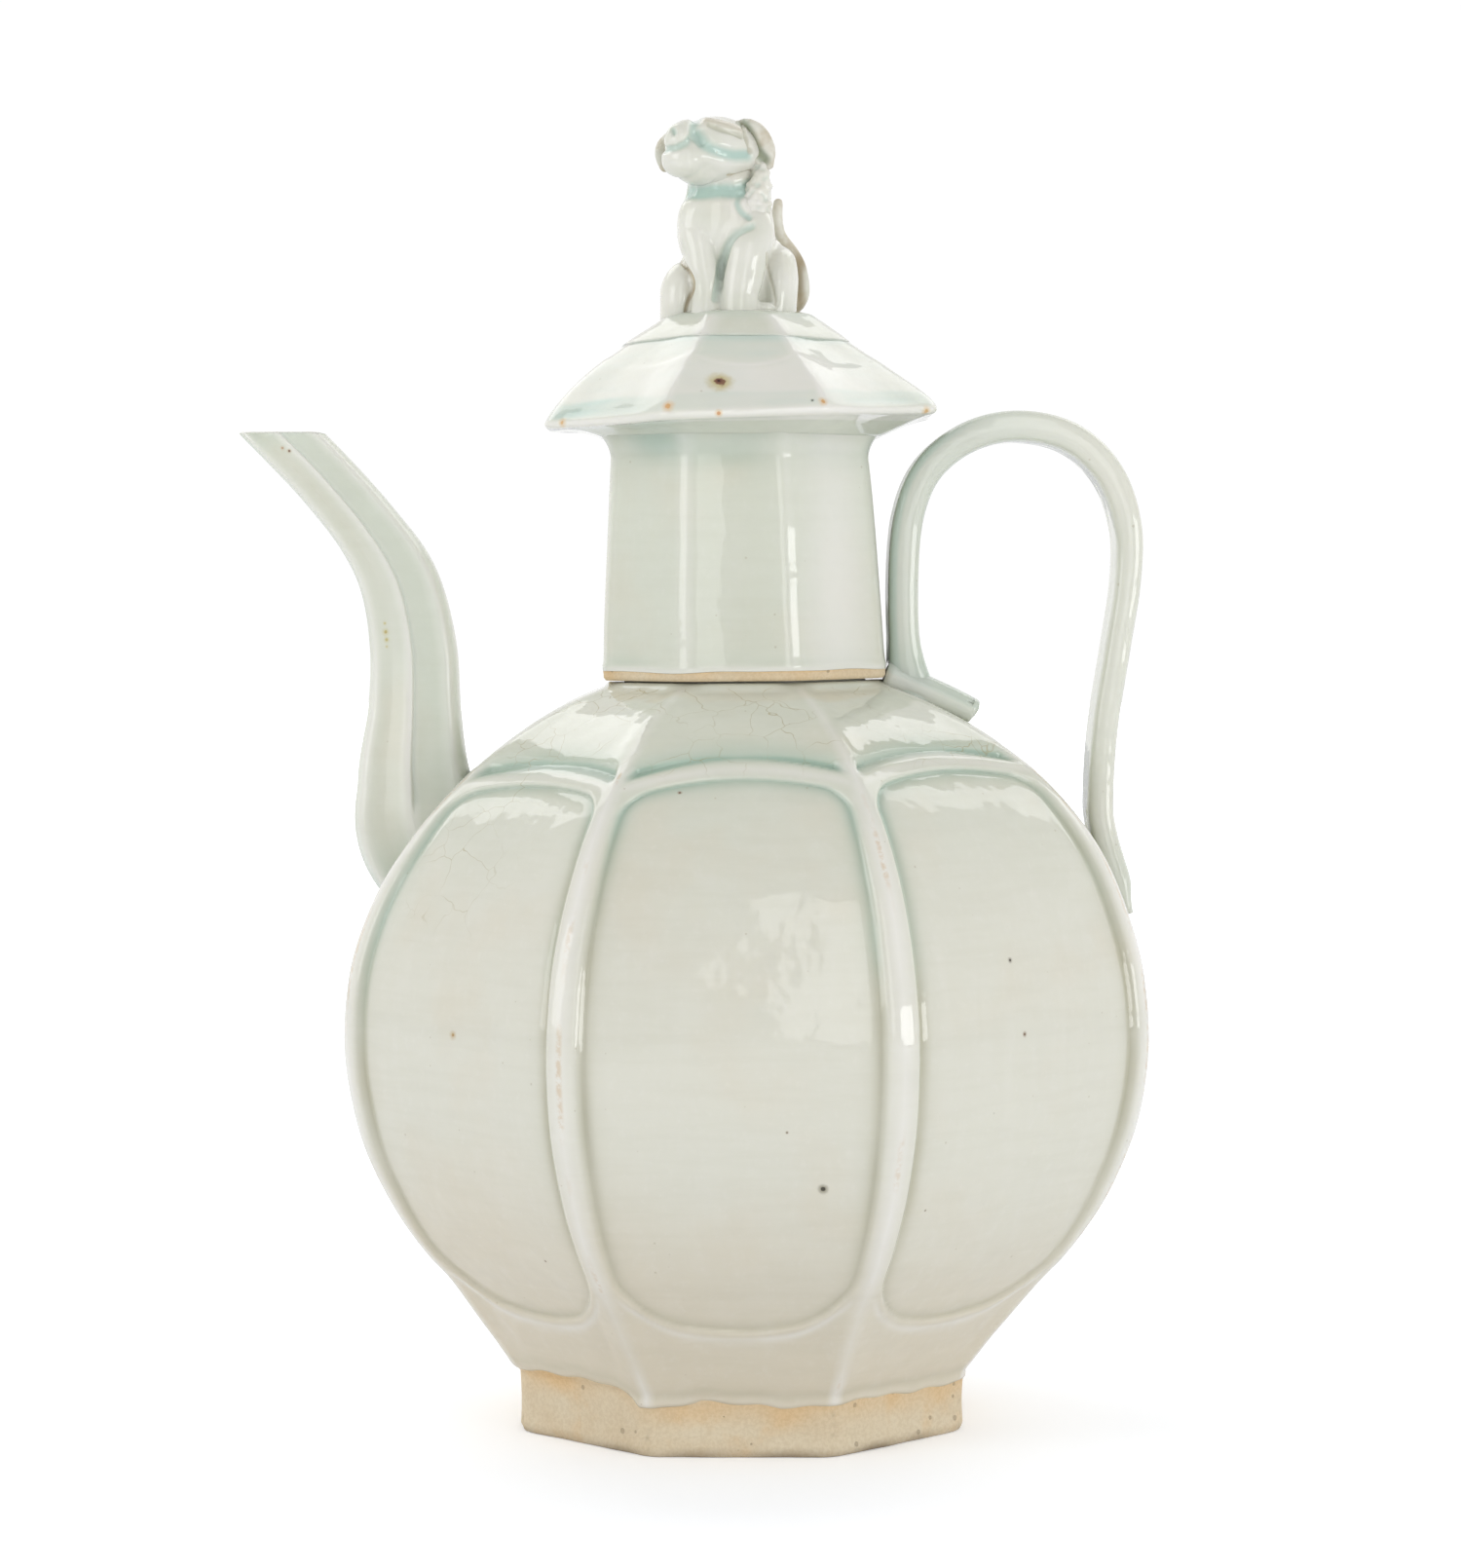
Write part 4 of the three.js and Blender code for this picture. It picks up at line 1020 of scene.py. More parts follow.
def under_profile(foot):
    """Radii and heights from the underside's middle to its edge on the foot ring."""
    boss = FOOT_RADIUS - foot.ring_width - BOSS_GAP
    return [(boss * 0.4, FLOOR_Z), (boss, FLOOR_Z), (boss, FOOT_TOP), (FOOT_RADIUS - LEDGE, FOOT_TOP)]


def plain_rings(profile, places, softness, uneven):
    """Points of a profile taken round the octagon, with no relief."""
    rings = Octagons(*zip(*profile), places, uneven)
    return rings.points(corner_drop(rings.from_corner, softness))


# Iron spots, as (column, row) in the photograph, radius, core and halo
BODY_SPOTS = [
    (845, 1221, 0.0006, (0.03, 0.025, 0.015, 1), (0.22, 0.20, 0.13, 1)),
    (1052, 1062, 0.00035, (0.10, 0.04, 0.02, 1), (0.30, 0.22, 0.14, 1)),
    (1037, 986, 0.00035, (0.04, 0.03, 0.03, 1), (0.25, 0.22, 0.17, 1)),
    (465, 1063, 0.00055, (0.38, 0.24, 0.10, 1), (0.50, 0.40, 0.24, 1)),
    (698, 814, 0.0003, (0.14, 0.06, 0.03, 1), (0.33, 0.25, 0.17, 1)),
    (808, 1163, 0.0002, (0.12, 0.09, 0.05, 1), (0.33, 0.28, 0.2, 1)),
    (950, 1243, 0.0002, (0.05, 0.04, 0.02, 1), (0.30, 0.25, 0.18, 1)),
    (560, 1295, 0.0002, (0.10, 0.05, 0.03, 1), (0.33, 0.27, 0.2, 1)),
]


class EWER_OT_body(bpy.types.Operator):
    """Build the ribbed body, closed round its cavity, with its seat and its floor"""

    bl_idname = "ewer.body"
    bl_label = "Body"

    def execute(self, context):
        form, foot = context.scene.ewer_body, context.scene.ewer_foot
        places = face_places(15, 20)
        rings = body_rings(form, foot, places)
        lines = BodyLines(rings, form, foot)
        sink = panel_relief(rings, lines, form) + shoulder_relief(rings, lines, form)
        sink = sink + skirt_relief(rings, lines) + hand_relief(rings, lines, form)
        sink = sink + lip_relief(rings, lines, form, foot)
        below = plain_rings(under_profile(foot), places, UNDER_SOFTNESS, EVEN)
        above = plain_rings(cavity_profile(form), places, CAVITY_SOFTNESS, BODY_UNEVEN)
        grid = np.concatenate([below, rings.points(sink), above])
        centres = [(AXIS_X, 0, FLOOR_Z), (AXIS_X, 0, FLOOR_Z + form.wall)]
        points = warped(np.concatenate([grid.reshape(-1, 3), centres]), form)
        faces = ring_faces(len(grid), rings.columns, fan_ends=True)

        def padded(values, before, after):
            under, over = np.full(below[..., 0].size, before), np.full(above[..., 0].size, after)
            return np.concatenate([under, values.ravel(), over, [before, after]])

        marks = {
            "pool": padded(body_pool(rings, lines, form), 0, 0.1),
            "thin": padded(body_thin(rings, lines), 0, 0),
            "crackle": padded(body_crackle(rings, form), 0, 0),
            "bare": padded(np.zeros(sink.shape), 1, 0),
        }
        spots = spots_on(points, faces, BODY_SPOTS)
        material = glazed_material("Body glaze", crackle=0.6, rust=0.5, spots=spots)
        piece = new_piece("ewer_body", points, faces, material, marks)
        dress(piece, "ewer", "celadon_glaze", "body_lower", "body_upper")
        return {"FINISHED"}


FOOT_STEP, FOOT_EDGE_STEP = 0.0007, 0.0004
WEAR, WEAR_LUMP = 0.00022, 0.006
FOOT_UNEVENNESS, FOOT_LUMP = 0.00016, 0.011
FOOT_INSIDE_SOFTNESS = 0.002
FLUSH_FROM, FLUSH_LUMP = (-0.0065, 0.0004), 0.008
DARKER_UP_TO, DIRT_LUMP = (0.0022, 0.0001), 0.009
DOT_SIZE, CORNER_DIRT_WIDTH = 0.0016, 0.0005


def foot_profile(foot, body):
    """Radii and heights up the ring's face, down its inside and over its sole."""
    bevel = foot.chamfer
    face = spaced((bevel, FOOT_TOP, FOOT_STEP), (FOOT_TOP, FOOT_TOP + foot.shoulder, FOOT_EDGE_STEP))
    inside = FOOT_RADIUS - foot.ring_width
    profile = list(zip(body_radius(face, body), face))
    profile += [(inside, FOOT_TOP), (inside, bevel), (inside + bevel / 2, 0)]
    return profile + [(FOOT_RADIUS - bevel * 1.1, 0), (FOOT_RADIUS - bevel * 0.4, bevel * 0.25)]


def foot_marks(rings, foot, outside):
    """Clay flushed orange near the glaze, darker towards the bottom, and with dirt dots on its corners."""
    over_line = rings.z - glaze_line(rings.angle, foot)
    flush = ramp(*FLUSH_FROM, over_line) * outside * (0.8 + 0.3 * rings.lumps(FLUSH_LUMP, 3.0))
    # Darker towards the bottom of the ring.
    dirt = ramp(*DARKER_UP_TO, rings.z) * (0.45 + 0.6 * rings.lumps(DIRT_LUMP))
    dots = np.clip(rings.lumps(DOT_SIZE, 2.0), 0, 1)
    dots = dots * np.clip(0.5 + rings.lumps(DIRT_LUMP, 1.0), 0, 1)
    corner_dirt = 0.9 * bell(rings.from_corner, 0, CORNER_DIRT_WIDTH) * dots
    return {"bare": 1 - 0.4 * flush, "stain": np.clip(np.maximum(dirt, corner_dirt), 0, 1)}


class EWER_OT_foot(bpy.types.Operator):
    """Build the bare foot ring, with the glaze running down over its top"""

    bl_idname = "ewer.foot"
    bl_label = "Foot ring"

    def execute(self, context):
        foot = context.scene.ewer_foot
        rings = Octagons(*zip(*foot_profile(foot, context.scene.ewer_body)), face_places(15, 10), FOOT_UNEVEN)
        outside = rings.radius > FOOT_RADIUS - foot.chamfer / 10
        worn = np.where(rings.z < foot.chamfer * 1.5, WEAR * (1 + rings.lumps(WEAR_LUMP)), 0)
        uneven = FOOT_UNEVENNESS * rings.lumps(FOOT_LUMP)
        waist = foot.waist * outside * np.sin(np.clip(rings.z / FOOT_TOP, 0, 1) * math.pi)
        sink = corner_drop(rings.from_corner, foot.corner) + worn + uneven + waist
        inner = corner_drop(rings.from_corner, FOOT_INSIDE_SOFTNESS)
        points = rings.points(np.where(outside | (rings.z < foot.chamfer), sink, inner))
        piece = new_piece(
            "foot_ring_clay", points.reshape(-1, 3), rings.closed_faces(),
            glazed_material("Foot clay"), foot_marks(rings, foot, outside))
        dress(piece, "ewer", "bare_clay", "foot_ring")
        return {"FINISHED"}


# Neck and cover

SLEEVE_DRAW_POWER = 1.5


def sleeve_radius(height, form):
    """Corner radius of the sleeve's outside at a height over its rim."""
    top = SLEEVE_TOP + form.fillet - SLEEVE_BASE - form.flare_height
    part = np.clip(height / top, 0, 1)
    drawn = mix(SLEEVE_RADIUS, form.waist_radius, part ** SLEEVE_DRAW_POWER)
    return drawn + form.flare * np.clip((height - top) / form.flare_height, 0, 1) ** 2


def up_sleeve(points):
    """How far up the sleeve each point lies, from 0 to 1."""
    return np.clip((points[:, 2] - SLEEVE_BASE) / (SLEEVE_TOP - SLEEVE_BASE), 0, 1)


def seated(points, form, gap=0.0):
    """Points clear by a gap of the seat, which is higher on the handle's side."""
    rise = gap + form.rim_lean * (points[:, 0] - AXIS_X) / SLEEVE_RADIUS
    return raised(points, rise * (1 - up_sleeve(points)))


def tilted(points, form):
    """The cover's points, leant towards the spout."""
    return seated(points, form, form.rim_gap) - np.outer(form.tilt * up_sleeve(points), (1, 0, 0))


SLEEVE_PLAY = 0.0020
NECK_WALL = 0.0022
NECK_RIM = 0.0008
# Radius past the neck's foot and height over the seat of the slip that joins them
NECK_FILLET = ((0.0012, -0.0005), (0.0006, 0.0001), (0.0002, 0.0005))
# Radius and height of the neck's lip under its outside and its top
NECK_LIP = ((0.0003, 0.0002), (0.0008, 0), (0.0014, 0.0002))
NECK_SOFTNESS, NECK_UNEVEN, NECK_LUMP = 0.003, 0.00012, 0.02
NECK_BARE_UNDER_TOP = (0.0016, 0.0006)
NECK_THIN_WIDTH = 0.0025


def neck_profile(form):
    """Radii and heights up the neck, over its lip and down its bore."""
    shrink = form.wall + SLEEVE_PLAY
    heights = np.linspace(0, NECK_TOP - SLEEVE_BASE - NECK_RIM, 40)
    foot = sleeve_radius(0, form) - shrink
    outer = [(foot + out, SEAT_Z + up) for out, up in NECK_FILLET]
    outer += [(sleeve_radius(z, form) - shrink, SLEEVE_BASE + z) for z in heights[1:]]
    lip = [(outer[-1][0] - back, NECK_TOP - down) for back, down in NECK_LIP]
    inner = [(sleeve_radius(z, form) - shrink - NECK_WALL, SLEEVE_BASE + z) for z in heights[::-2]]
    return outer + lip + inner


class EWER_OT_neck(bpy.types.Operator):
    """Build the glazed neck that the sleeve slips over"""

    bl_idname = "ewer.neck"
    bl_label = "Neck"

    def execute(self, context):
        form = context.scene.ewer_cover
        rings = Octagons(*zip(*neck_profile(form)), face_places(5, 4, 0.3), SLEEVE_UNEVEN)
        sink = corner_drop(rings.from_corner, NECK_SOFTNESS) + NECK_UNEVEN * rings.lumps(NECK_LUMP, 1.0)
        points = seated(rings.points(sink).reshape(-1, 3), form)
        bare = ramp(*(NECK_TOP - under for under in NECK_BARE_UNDER_TOP), rings.z)
        thin = rings.near_corner(NECK_THIN_WIDTH)
        piece = new_piece(
            "neck_wall", points, rings.closed_faces(), glazed_material("Neck glaze"),
            {"bare": bare, "thin": thin})
        dress(piece, "ewer", "celadon_glaze", "neck")
        return {"FINISHED"}


RIM_EDGE = 0.0005
SLEEVE_LOW, SLEEVE_LOW_STEP = 0.0035, 0.0003
SLEEVE_STEP = 0.0014
SLEEVE_HIGH, SLEEVE_HIGH_STEP = 0.005, 0.0004
RIM_ROUND = 0.0006
RIM_RAGGED, RIM_LUMP = 0.0003, 0.011
SLEEVE_UNEVENNESS, SLEEVE_LUMP = 0.00014, 0.03
SLEEVE_HOLLOW, HOLLOW_FROM_CORNER, HOLLOW_OVER_RIM = 0.00025, (0.002, 0.008), (0.001, 0.006)
RIM_LIP, RIM_LIP_PLACE, RIM_LIP_WIDTH = 0.00022, 0.0008, 0.0009
SLEEVE_INSET = 0.0002
UNDER_EAVE = (-0.0065, 0.0005)
PATCH_LUMP, RIM_POOL_LUMP = 0.013, 0.012
RIM_POOL_PLACE, RIM_POOL_WIDTH = 0.002, 0.0015
RIM_THIN, RIM_BARE = (0.0014, 0.0003), (0.0005, -0.0004)
# Faces of the sleeve that carry a painted highlight (right) and painted shade (front)
SHADED_FRONT_FACE, LIT_RIGHT_FACE, FACE_SPREAD = math.radians(270), math.radians(315), 0.3


def sleeve_profile(form):
    """Radii and heights up the outside, down the bore and round the rim, and the count outside."""
    tall = SLEEVE_TOP + form.fillet - SLEEVE_BASE
    heights = spaced(
        (RIM_EDGE, SLEEVE_LOW, SLEEVE_LOW_STEP), (SLEEVE_LOW, tall - SLEEVE_HIGH, SLEEVE_STEP),
        (tall - SLEEVE_HIGH, tall, SLEEVE_HIGH_STEP))
    outer = [(sleeve_radius(z, form), SLEEVE_BASE + z) for z in heights]
    outer.append((outer[-1][0] + form.lute, SLEEVE_BASE + tall + form.lute))
    bore = SLEEVE_TOP - form.flare_height - SLEEVE_BASE
    down = np.linspace(tall, RIM_EDGE, 24)
    inner = [(sleeve_radius(min(z, bore), form) - form.wall, SLEEVE_BASE + z) for z in down]
    rim = [(SLEEVE_RADIUS - form.wall + RIM_ROUND, SLEEVE_BASE), (SLEEVE_RADIUS - RIM_ROUND, SLEEVE_BASE)]
    return outer + inner + rim, len(outer)


def sleeve_marks(rings, form, outside, over_rim):
    """Glaze pooled under the eaves and over the rim, and thin on the corners, with a painted highlight over
    the right face and painted shade over the front face.
    """
    under_eave = ramp(*(SLEEVE_TOP + over for over in UNDER_EAVE), rings.z)
    patchy = 0.5 + 0.7 * rings.lumps(PATCH_LUMP, 2.0)
    pool = np.where(outside, 0.08 + 0.6 * under_eave * np.clip(patchy, 0.1, 1), 0.1)
    over_lip = bell(over_rim, RIM_POOL_PLACE, RIM_POOL_WIDTH) * (1 + rings.lumps(RIM_POOL_LUMP, 4.0))
    pool = np.clip(np.maximum(pool, 0.16 * over_lip), 0, 1)
    thin = 0.35 * rings.near_corner(form.corner * 1.2) * outside
    thin = np.maximum(thin, 0.7 * ramp(*RIM_THIN, over_rim) * outside)
    # Painted highlight: the right face is made paler through the thin mark.
    right = bell(rings.angle, LIT_RIGHT_FACE, FACE_SPREAD)
    thin = np.maximum(thin, 0.7 * right * outside * ramp(1.0, 0.4, pool))
    # Painted shade: the front face is darkened through the stain mark.
    stain = 0.05 * bell(rings.angle, SHADED_FRONT_FACE, FACE_SPREAD) * outside
    return {"bare": 0.8 * ramp(*RIM_BARE, over_rim), "thin": thin, "pool": pool, "stain": stain}


class EWER_OT_sleeve(bpy.types.Operator):
    """Build the cover's eight-sided sleeve with its bare rim"""

    bl_idname = "ewer.sleeve"
    bl_label = "Cover sleeve"

    def execute(self, context):
        form = context.scene.ewer_cover
        profile, outer_count = sleeve_profile(form)
        rings = Octagons(*zip(*profile), face_places(9, 8, 0.3), SLEEVE_UNEVEN)
        outside = np.arange(rings.rows)[:, None] < outer_count
        over_rim = rings.z - SLEEVE_BASE - form.rim - RIM_RAGGED * rings.lumps(RIM_LUMP, 3.0)
        uneven = SLEEVE_UNEVENNESS * rings.lumps(SLEEVE_LUMP, 5.0)
        hollow = SLEEVE_HOLLOW * ramp(*HOLLOW_FROM_CORNER, rings.from_corner)
        hollow = hollow * ramp(*HOLLOW_OVER_RIM, rings.z - SLEEVE_BASE)
        glaze_edge = RIM_LIP * bell(over_rim, RIM_LIP_PLACE, RIM_LIP_WIDTH)
        sink = corner_drop(rings.from_corner, form.corner) + uneven
        sink = sink + np.where(outside, hollow - glaze_edge + SLEEVE_INSET, 0)
        points = tilted(rings.points(sink).reshape(-1, 3), form)
        piece = new_piece(
            "cover_sleeve_wall", points, rings.closed_faces(),
            glazed_material("Sleeve glaze"), sleeve_marks(rings, form, outside, over_rim))
        dress(piece, "cover", "celadon_glaze", "cover_sleeve")
        return {"FINISHED"}


ROOF_SPOTS = [
    (739, 392, 0.0016, (0.17, 0.06, 0.035, 1), (0.46, 0.37, 0.11, 1)),
    (738, 391, 0.0004, (0.03, 0.01, 0.01, 1), (0.10, 0.03, 0.02, 1)),
    (686, 417, 0.0008, (0.62, 0.36, 0.15, 1), (0.66, 0.48, 0.28, 1)),
    (738, 424, 0.0005, (0.55, 0.28, 0.12, 1), (0.66, 0.50, 0.30, 1)),
    (845, 412, 0.0006, (0.58, 0.33, 0.13, 1), (0.66, 0.50, 0.30, 1)),
    (834, 411, 0.00025, (0.05, 0.06, 0.05, 1), (0.3, 0.33, 0.27, 1)),
    (577, 434, 0.0007, (0.60, 0.38, 0.18, 1), (0.66, 0.5, 0.3, 1)),
    (951, 422, 0.0007, (0.58, 0.36, 0.16, 1), (0.66, 0.5, 0.3, 1)),
]
# Places round the eave's edge: how far back, and how far up
EAVE_EDGE_SHARES = ((0.0, 0.8), (0.04, 0.6), (0.14, 0.4), (0.34, 0.18), (0.65, 0.03))
EAVE_ROWS = 4
ROOF_POWER, SOFFIT_POWER, HANG_POWER = 1.32, 1.6, 1.5
HOLLOW_FLOOR = 0.0006
HOLLOW_INSET, HOLLOW_SHOULDER, HOLLOW_TOP, HOLLOW_MOUTH = 0.0072, 0.004, 0.0004, 0.0012
FACET_SINK, FACET_FROM_CORNER = 0.0005, (0.0015, 0.009)
STEP_SINK = 0.00022
EAVE_UNEVEN, EAVE_LUMP = 0.00025, 0.013
WAVE, WAVE_LUMP = 0.0003, 0.03
STREAK_LUMP, STREAK_LENGTH, BAND_LUMP, SOFFIT_LUMP = 0.009, 0.0003, 0.012, 0.02


class RoofRings(Octagons):
    """Rings of the roof: out under the eaves, up to the top and down the hollow."""

    def __init__(self, form):
        eave_low = ROOF_BASE + form.eave_drop
        eave_high = eave_low + form.eave_edge
        eave_foot = EAVE_RADIUS - form.eave_edge
        throat = form.waist_radius + form.flare
        joint = SLEEVE_TOP + form.fillet - form.lute
        top_radius = form.roof_top_radius
        soffit = [(mix(eave_foot, throat, s), mix(eave_low, joint, s ** SOFFIT_POWER))
                  for s in np.linspace(0, 1, 14)[1:]]
        edge = [(EAVE_RADIUS - form.eave_edge * back, mix(eave_low, eave_high, up))
                for back, up in EAVE_EDGE_SHARES]
        top = [(mix(EAVE_RADIUS, top_radius, s ** ROOF_POWER), mix(eave_high, ROOF_TOP, s))
               for s in np.linspace(0, 1, 46)]
        mouth, inset = form.waist_radius - form.wall, top_radius - HOLLOW_INSET
        hollow = [(mouth, joint), (mouth, eave_high + HOLLOW_FLOOR), (inset, ROOF_TOP - HOLLOW_SHOULDER),
                  (inset, ROOF_TOP - HOLLOW_TOP), (top_radius - HOLLOW_MOUTH, ROOF_TOP)]
        skin = soffit[::-1] + edge[::-1] + top
        super().__init__(*zip(*(skin + hollow[::-1])), face_places(10, 9, 0.34), ROOF_UNEVEN)
        row = np.arange(self.rows)[:, None]
        on_skin = row < len(skin)
        self.under = row < len(soffit)
        self.upper = (row >= len(soffit) + len(edge)) & on_skin
        self.edging = (row >= len(soffit) - EAVE_ROWS) & on_skin
        self.part_up = np.clip((self.z - eave_high) / (ROOF_TOP - eave_high), 0, 1)
        self.over_step = self.part_up - 0.6 - 0.17 * self.across ** 2
        hanging = np.clip((self.radius - throat) / (eave_foot - throat), 0, 1) ** HANG_POWER
        self.hanging = np.where(self.upper, ramp(0.75, 0.0, self.part_up), hanging) * on_skin

    def relief(self, form):
        """Sink of the ridges, the facets with their low step, and the uneven eaves."""
        ridge = corner_drop(self.from_corner, mix(form.ridge, form.ridge * 0.8, self.part_up))
        facet = FACET_SINK * ramp(*FACET_FROM_CORNER, self.from_corner) * ramp(0, 0.12, self.part_up)
        step = STEP_SINK * ramp(-0.04, 0.04, self.over_step) * ramp(1.0, 0.8, self.part_up)
        uneven = EAVE_UNEVEN * self.lumps(EAVE_LUMP, 1.0)
        return ridge + np.where(self.upper, facet + step, 0) + np.where(self.edging, uneven, 0)

    def wave(self, form):
        """Rise and fall of the eaves, which hang lower on the spout's side."""
        lean = form.eave_lean * self.radius * np.cos(self.angle) / EAVE_RADIUS
        return (lean + WAVE * self.lumps(WAVE_LUMP, 2.2)) * self.hanging

    def marks(self, form):
        """Glaze pooled over the eaves and under the crown, and thin on ridges and edge. The front facet
        carries a painted reflection along its step, painted shade above the step and a painted highlight
        below it, and the eave's edge a painted highlight.
        """
        up, over_step = self.part_up, self.over_step
        streaks = np.clip(0.4 + self.lumps(STREAK_LUMP, 4.0), 0, 1)
        streaks = streaks * (0.7 + 0.3 * np.sin(self.z / STREAK_LENGTH))
        band = ramp(0.27, 0.2, up + 0.03 * self.lumps(BAND_LUMP)) * ramp(0.02, 0.06, up)
        beside = np.cos(self.angle)
        band = band * (0.3 + (0.5 - 0.3 * beside) * beside ** 2)
        # Weight of the front facet, where light and shade are painted.
        in_front = np.clip(-np.sin(self.angle), 0, 1) ** 3
        pool = band * (0.7 + 0.3 * streaks) + 0.22 * streaks
        # Part of this pool is painted shade over the step on the front facet.
        pool = np.maximum(pool, 0.75 * ramp(0.87, 1.0, up)) + 0.2 * in_front * ramp(0.03, 0.14, over_step)
        soffit_pool = np.maximum(0.1 + 0.12 * self.lumps(SOFFIT_LUMP), 0)
        pool = np.where(self.upper, pool, np.where(self.under, soffit_pool, 0))
        ridge = self.near_corner(form.ridge * 1.6)
        # On the front facet, under the step, the thin mark is a painted highlight.
        facet = (0.35 + 0.45 * in_front * ramp(0.05, -0.1, over_step)) * (1 - 0.8 * band)
        # The thin line along the step on the front facet is a painted reflection.
        thin = np.maximum(ridge, np.maximum(bell(over_step, 0, 0.045) * in_front, facet)) * self.upper
        # Along the eave's edge the glaze is thin, and whitened further as a painted highlight.
        thin = np.maximum(thin, 0.9 * ramp(0.035, 0.0, up) * self.edging)
        return {"pool": np.clip(pool, 0, 1), "thin": thin}


class EWER_OT_roof(bpy.types.Operator):
    """Build the eaved roof, with its hollow underside"""

    bl_idname = "ewer.roof"
    bl_label = "Cover roof"

    def execute(self, context):
        form = context.scene.ewer_cover
        rings = RoofRings(form)
        points = tilted(rings.points(rings.relief(form), rings.wave(form)).reshape(-1, 3), form)
        faces = rings.closed_faces()
        spots = spots_on(points, faces, ROOF_SPOTS)
        material = glazed_material("Roof glaze", rust=0.0, spots=spots)
        piece = new_piece("cover_roof_shell", points, faces, material, rings.marks(form))
        dress(piece, "cover", "celadon_glaze", "cover_roof")
        return {"FINISHED"}


CROWN_SINK, CROWN_EDGE, CROWN_EDGE_RISE = 0.0006, 0.0012, 0.0004
CROWN_POWER = 1.15
# Over the crown's top, from its edge in: radius, and way up to the lion's feet
CROWN_TOP_SHARES = ((0.96, 0.0), (0.84, 1.1), (0.6, 1.4), (0.3, 1.4))
CROWN_SOFTNESS, CROWN_THIN_WIDTH = 0.0016, 0.003
CROWN_UNEVEN, CROWN_LUMP, CREASE_LUMP, CREASE_POOL_LUMP = 0.0002, 0.012, 0.015, 0.01
ROOF_SLOPE = 2.15


class EWER_OT_crown(bpy.types.Operator):
    """Build the small tier on which the lion sits"""

    bl_idname = "ewer.crown"
    bl_label = "Roof crown"

    def profile(self, form, base):
        edge_z = base + CROWN_EDGE_RISE
        side = [(mix(CROWN_RADIUS, form.crown_top_radius, s ** CROWN_POWER), mix(edge_z, CROWN_TOP, s))
                for s in np.linspace(0, 1, 14)]
        top = [(form.crown_top_radius * part, mix(CROWN_TOP, LION_BASE, rise) + form.lute)
               for part, rise in CROWN_TOP_SHARES]
        return [(CROWN_RADIUS - CROWN_EDGE, base)] + side + top

    def execute(self, context):
        form = context.scene.ewer_cover
        base = low("roof_crown").z - CROWN_SINK
        rings = Octagons(*zip(*self.profile(form, base)), face_places(8, 6, 0.3), ROOF_UNEVEN)
        part_up = np.clip((rings.z - base) / (CROWN_TOP - base), 0, 1)
        uneven = CROWN_UNEVEN * rings.lumps(CROWN_LUMP, 6.0) * ramp(0, 0.3, part_up)
        beside = np.cos(rings.angle) ** 2 * (1 - 0.25 * np.cos(rings.angle))
        sag = form.crease_sag * (beside + 0.15 * rings.lumps(CREASE_LUMP, 2.0)) * ramp(0.8, 0.0, part_up)
        sink = corner_drop(rings.from_corner, CROWN_SOFTNESS) + uneven - sag * ROOF_SLOPE
        skin = tilted(rings.points(sink, -sag).reshape(-1, 3), form)
        points = np.concatenate([skin, [(AXIS_X, 0, base), (AXIS_X, 0, LION_BASE + form.lute)]])
        pool = np.maximum(0.7 * ramp(0.18, 0.0, part_up), 0.22 * ramp(0.5, 1.0, part_up))
        pool = np.clip(pool * (1 + 0.3 * rings.lumps(CREASE_POOL_LUMP)), 0, 1)
        thin = rings.near_corner(CROWN_THIN_WIDTH) * ramp(1.0, 0.8, part_up)
        marks = {"pool": np.append(pool, [0, 0.4]), "thin": np.append(thin, [0, 0])}
        faces = ring_faces(rings.rows, rings.columns, fan_ends=True)
        piece = new_piece("roof_crown_tier", points, faces, glazed_material("Upper tier glaze"), marks)
        dress(piece, "cover", "celadon_glaze", "roof_crown")
        return {"FINISHED"}


# Spout and handle

# Up the spine, from below the root to the lip: reach, rise and thickness
SPOUT_SPINE_SHARES = [
    (-0.62, -0.22, 1.0), (-0.07, -0.04, 1.0), (0.025, 0.12, 0.79), (0.02, 0.3, 0.48), (0.03, 0.46, 0.385),
    (0.13, 0.62, 0.27), (0.35, 0.75, 0.1), (0.675, 0.885, 0.03), (1.0, 1.0, 0.0),
]
# Half of the section, from its inner edge to its outer one. The recess is where its side lies in.
SPOUT_HALF_SECTION_SHARES = [
    (0.3, -1.0), (0.62, -0.9), (0.7, -0.82), (0.8, -0.45), (0.97, -0.12), (1.0, 0.0), (0.93, 0.04),
    (0.93, 0.1), (0.88, 0.78), (0.8, 0.88), (0.5, 0.97), (0.2, 1.0),
]
SPOUT_RECESS = range(6, 9)
SPOUT_RECESS_START_SHARES = (0.235, 0.27)
SPOUT_RIDGES_SHARES = [(0.66, -0.86), (1.0, -0.03), (0.84, 0.84)]
SPOUT_CUT, HANDLE_CUT = 0.14, 0.2
SPOUT_ROWS, HANDLE_ROWS = 110, 150
LIP_ROUND, LIP_INSET = 0.0003, 0.0005
DRY_GLOSS = 0.22
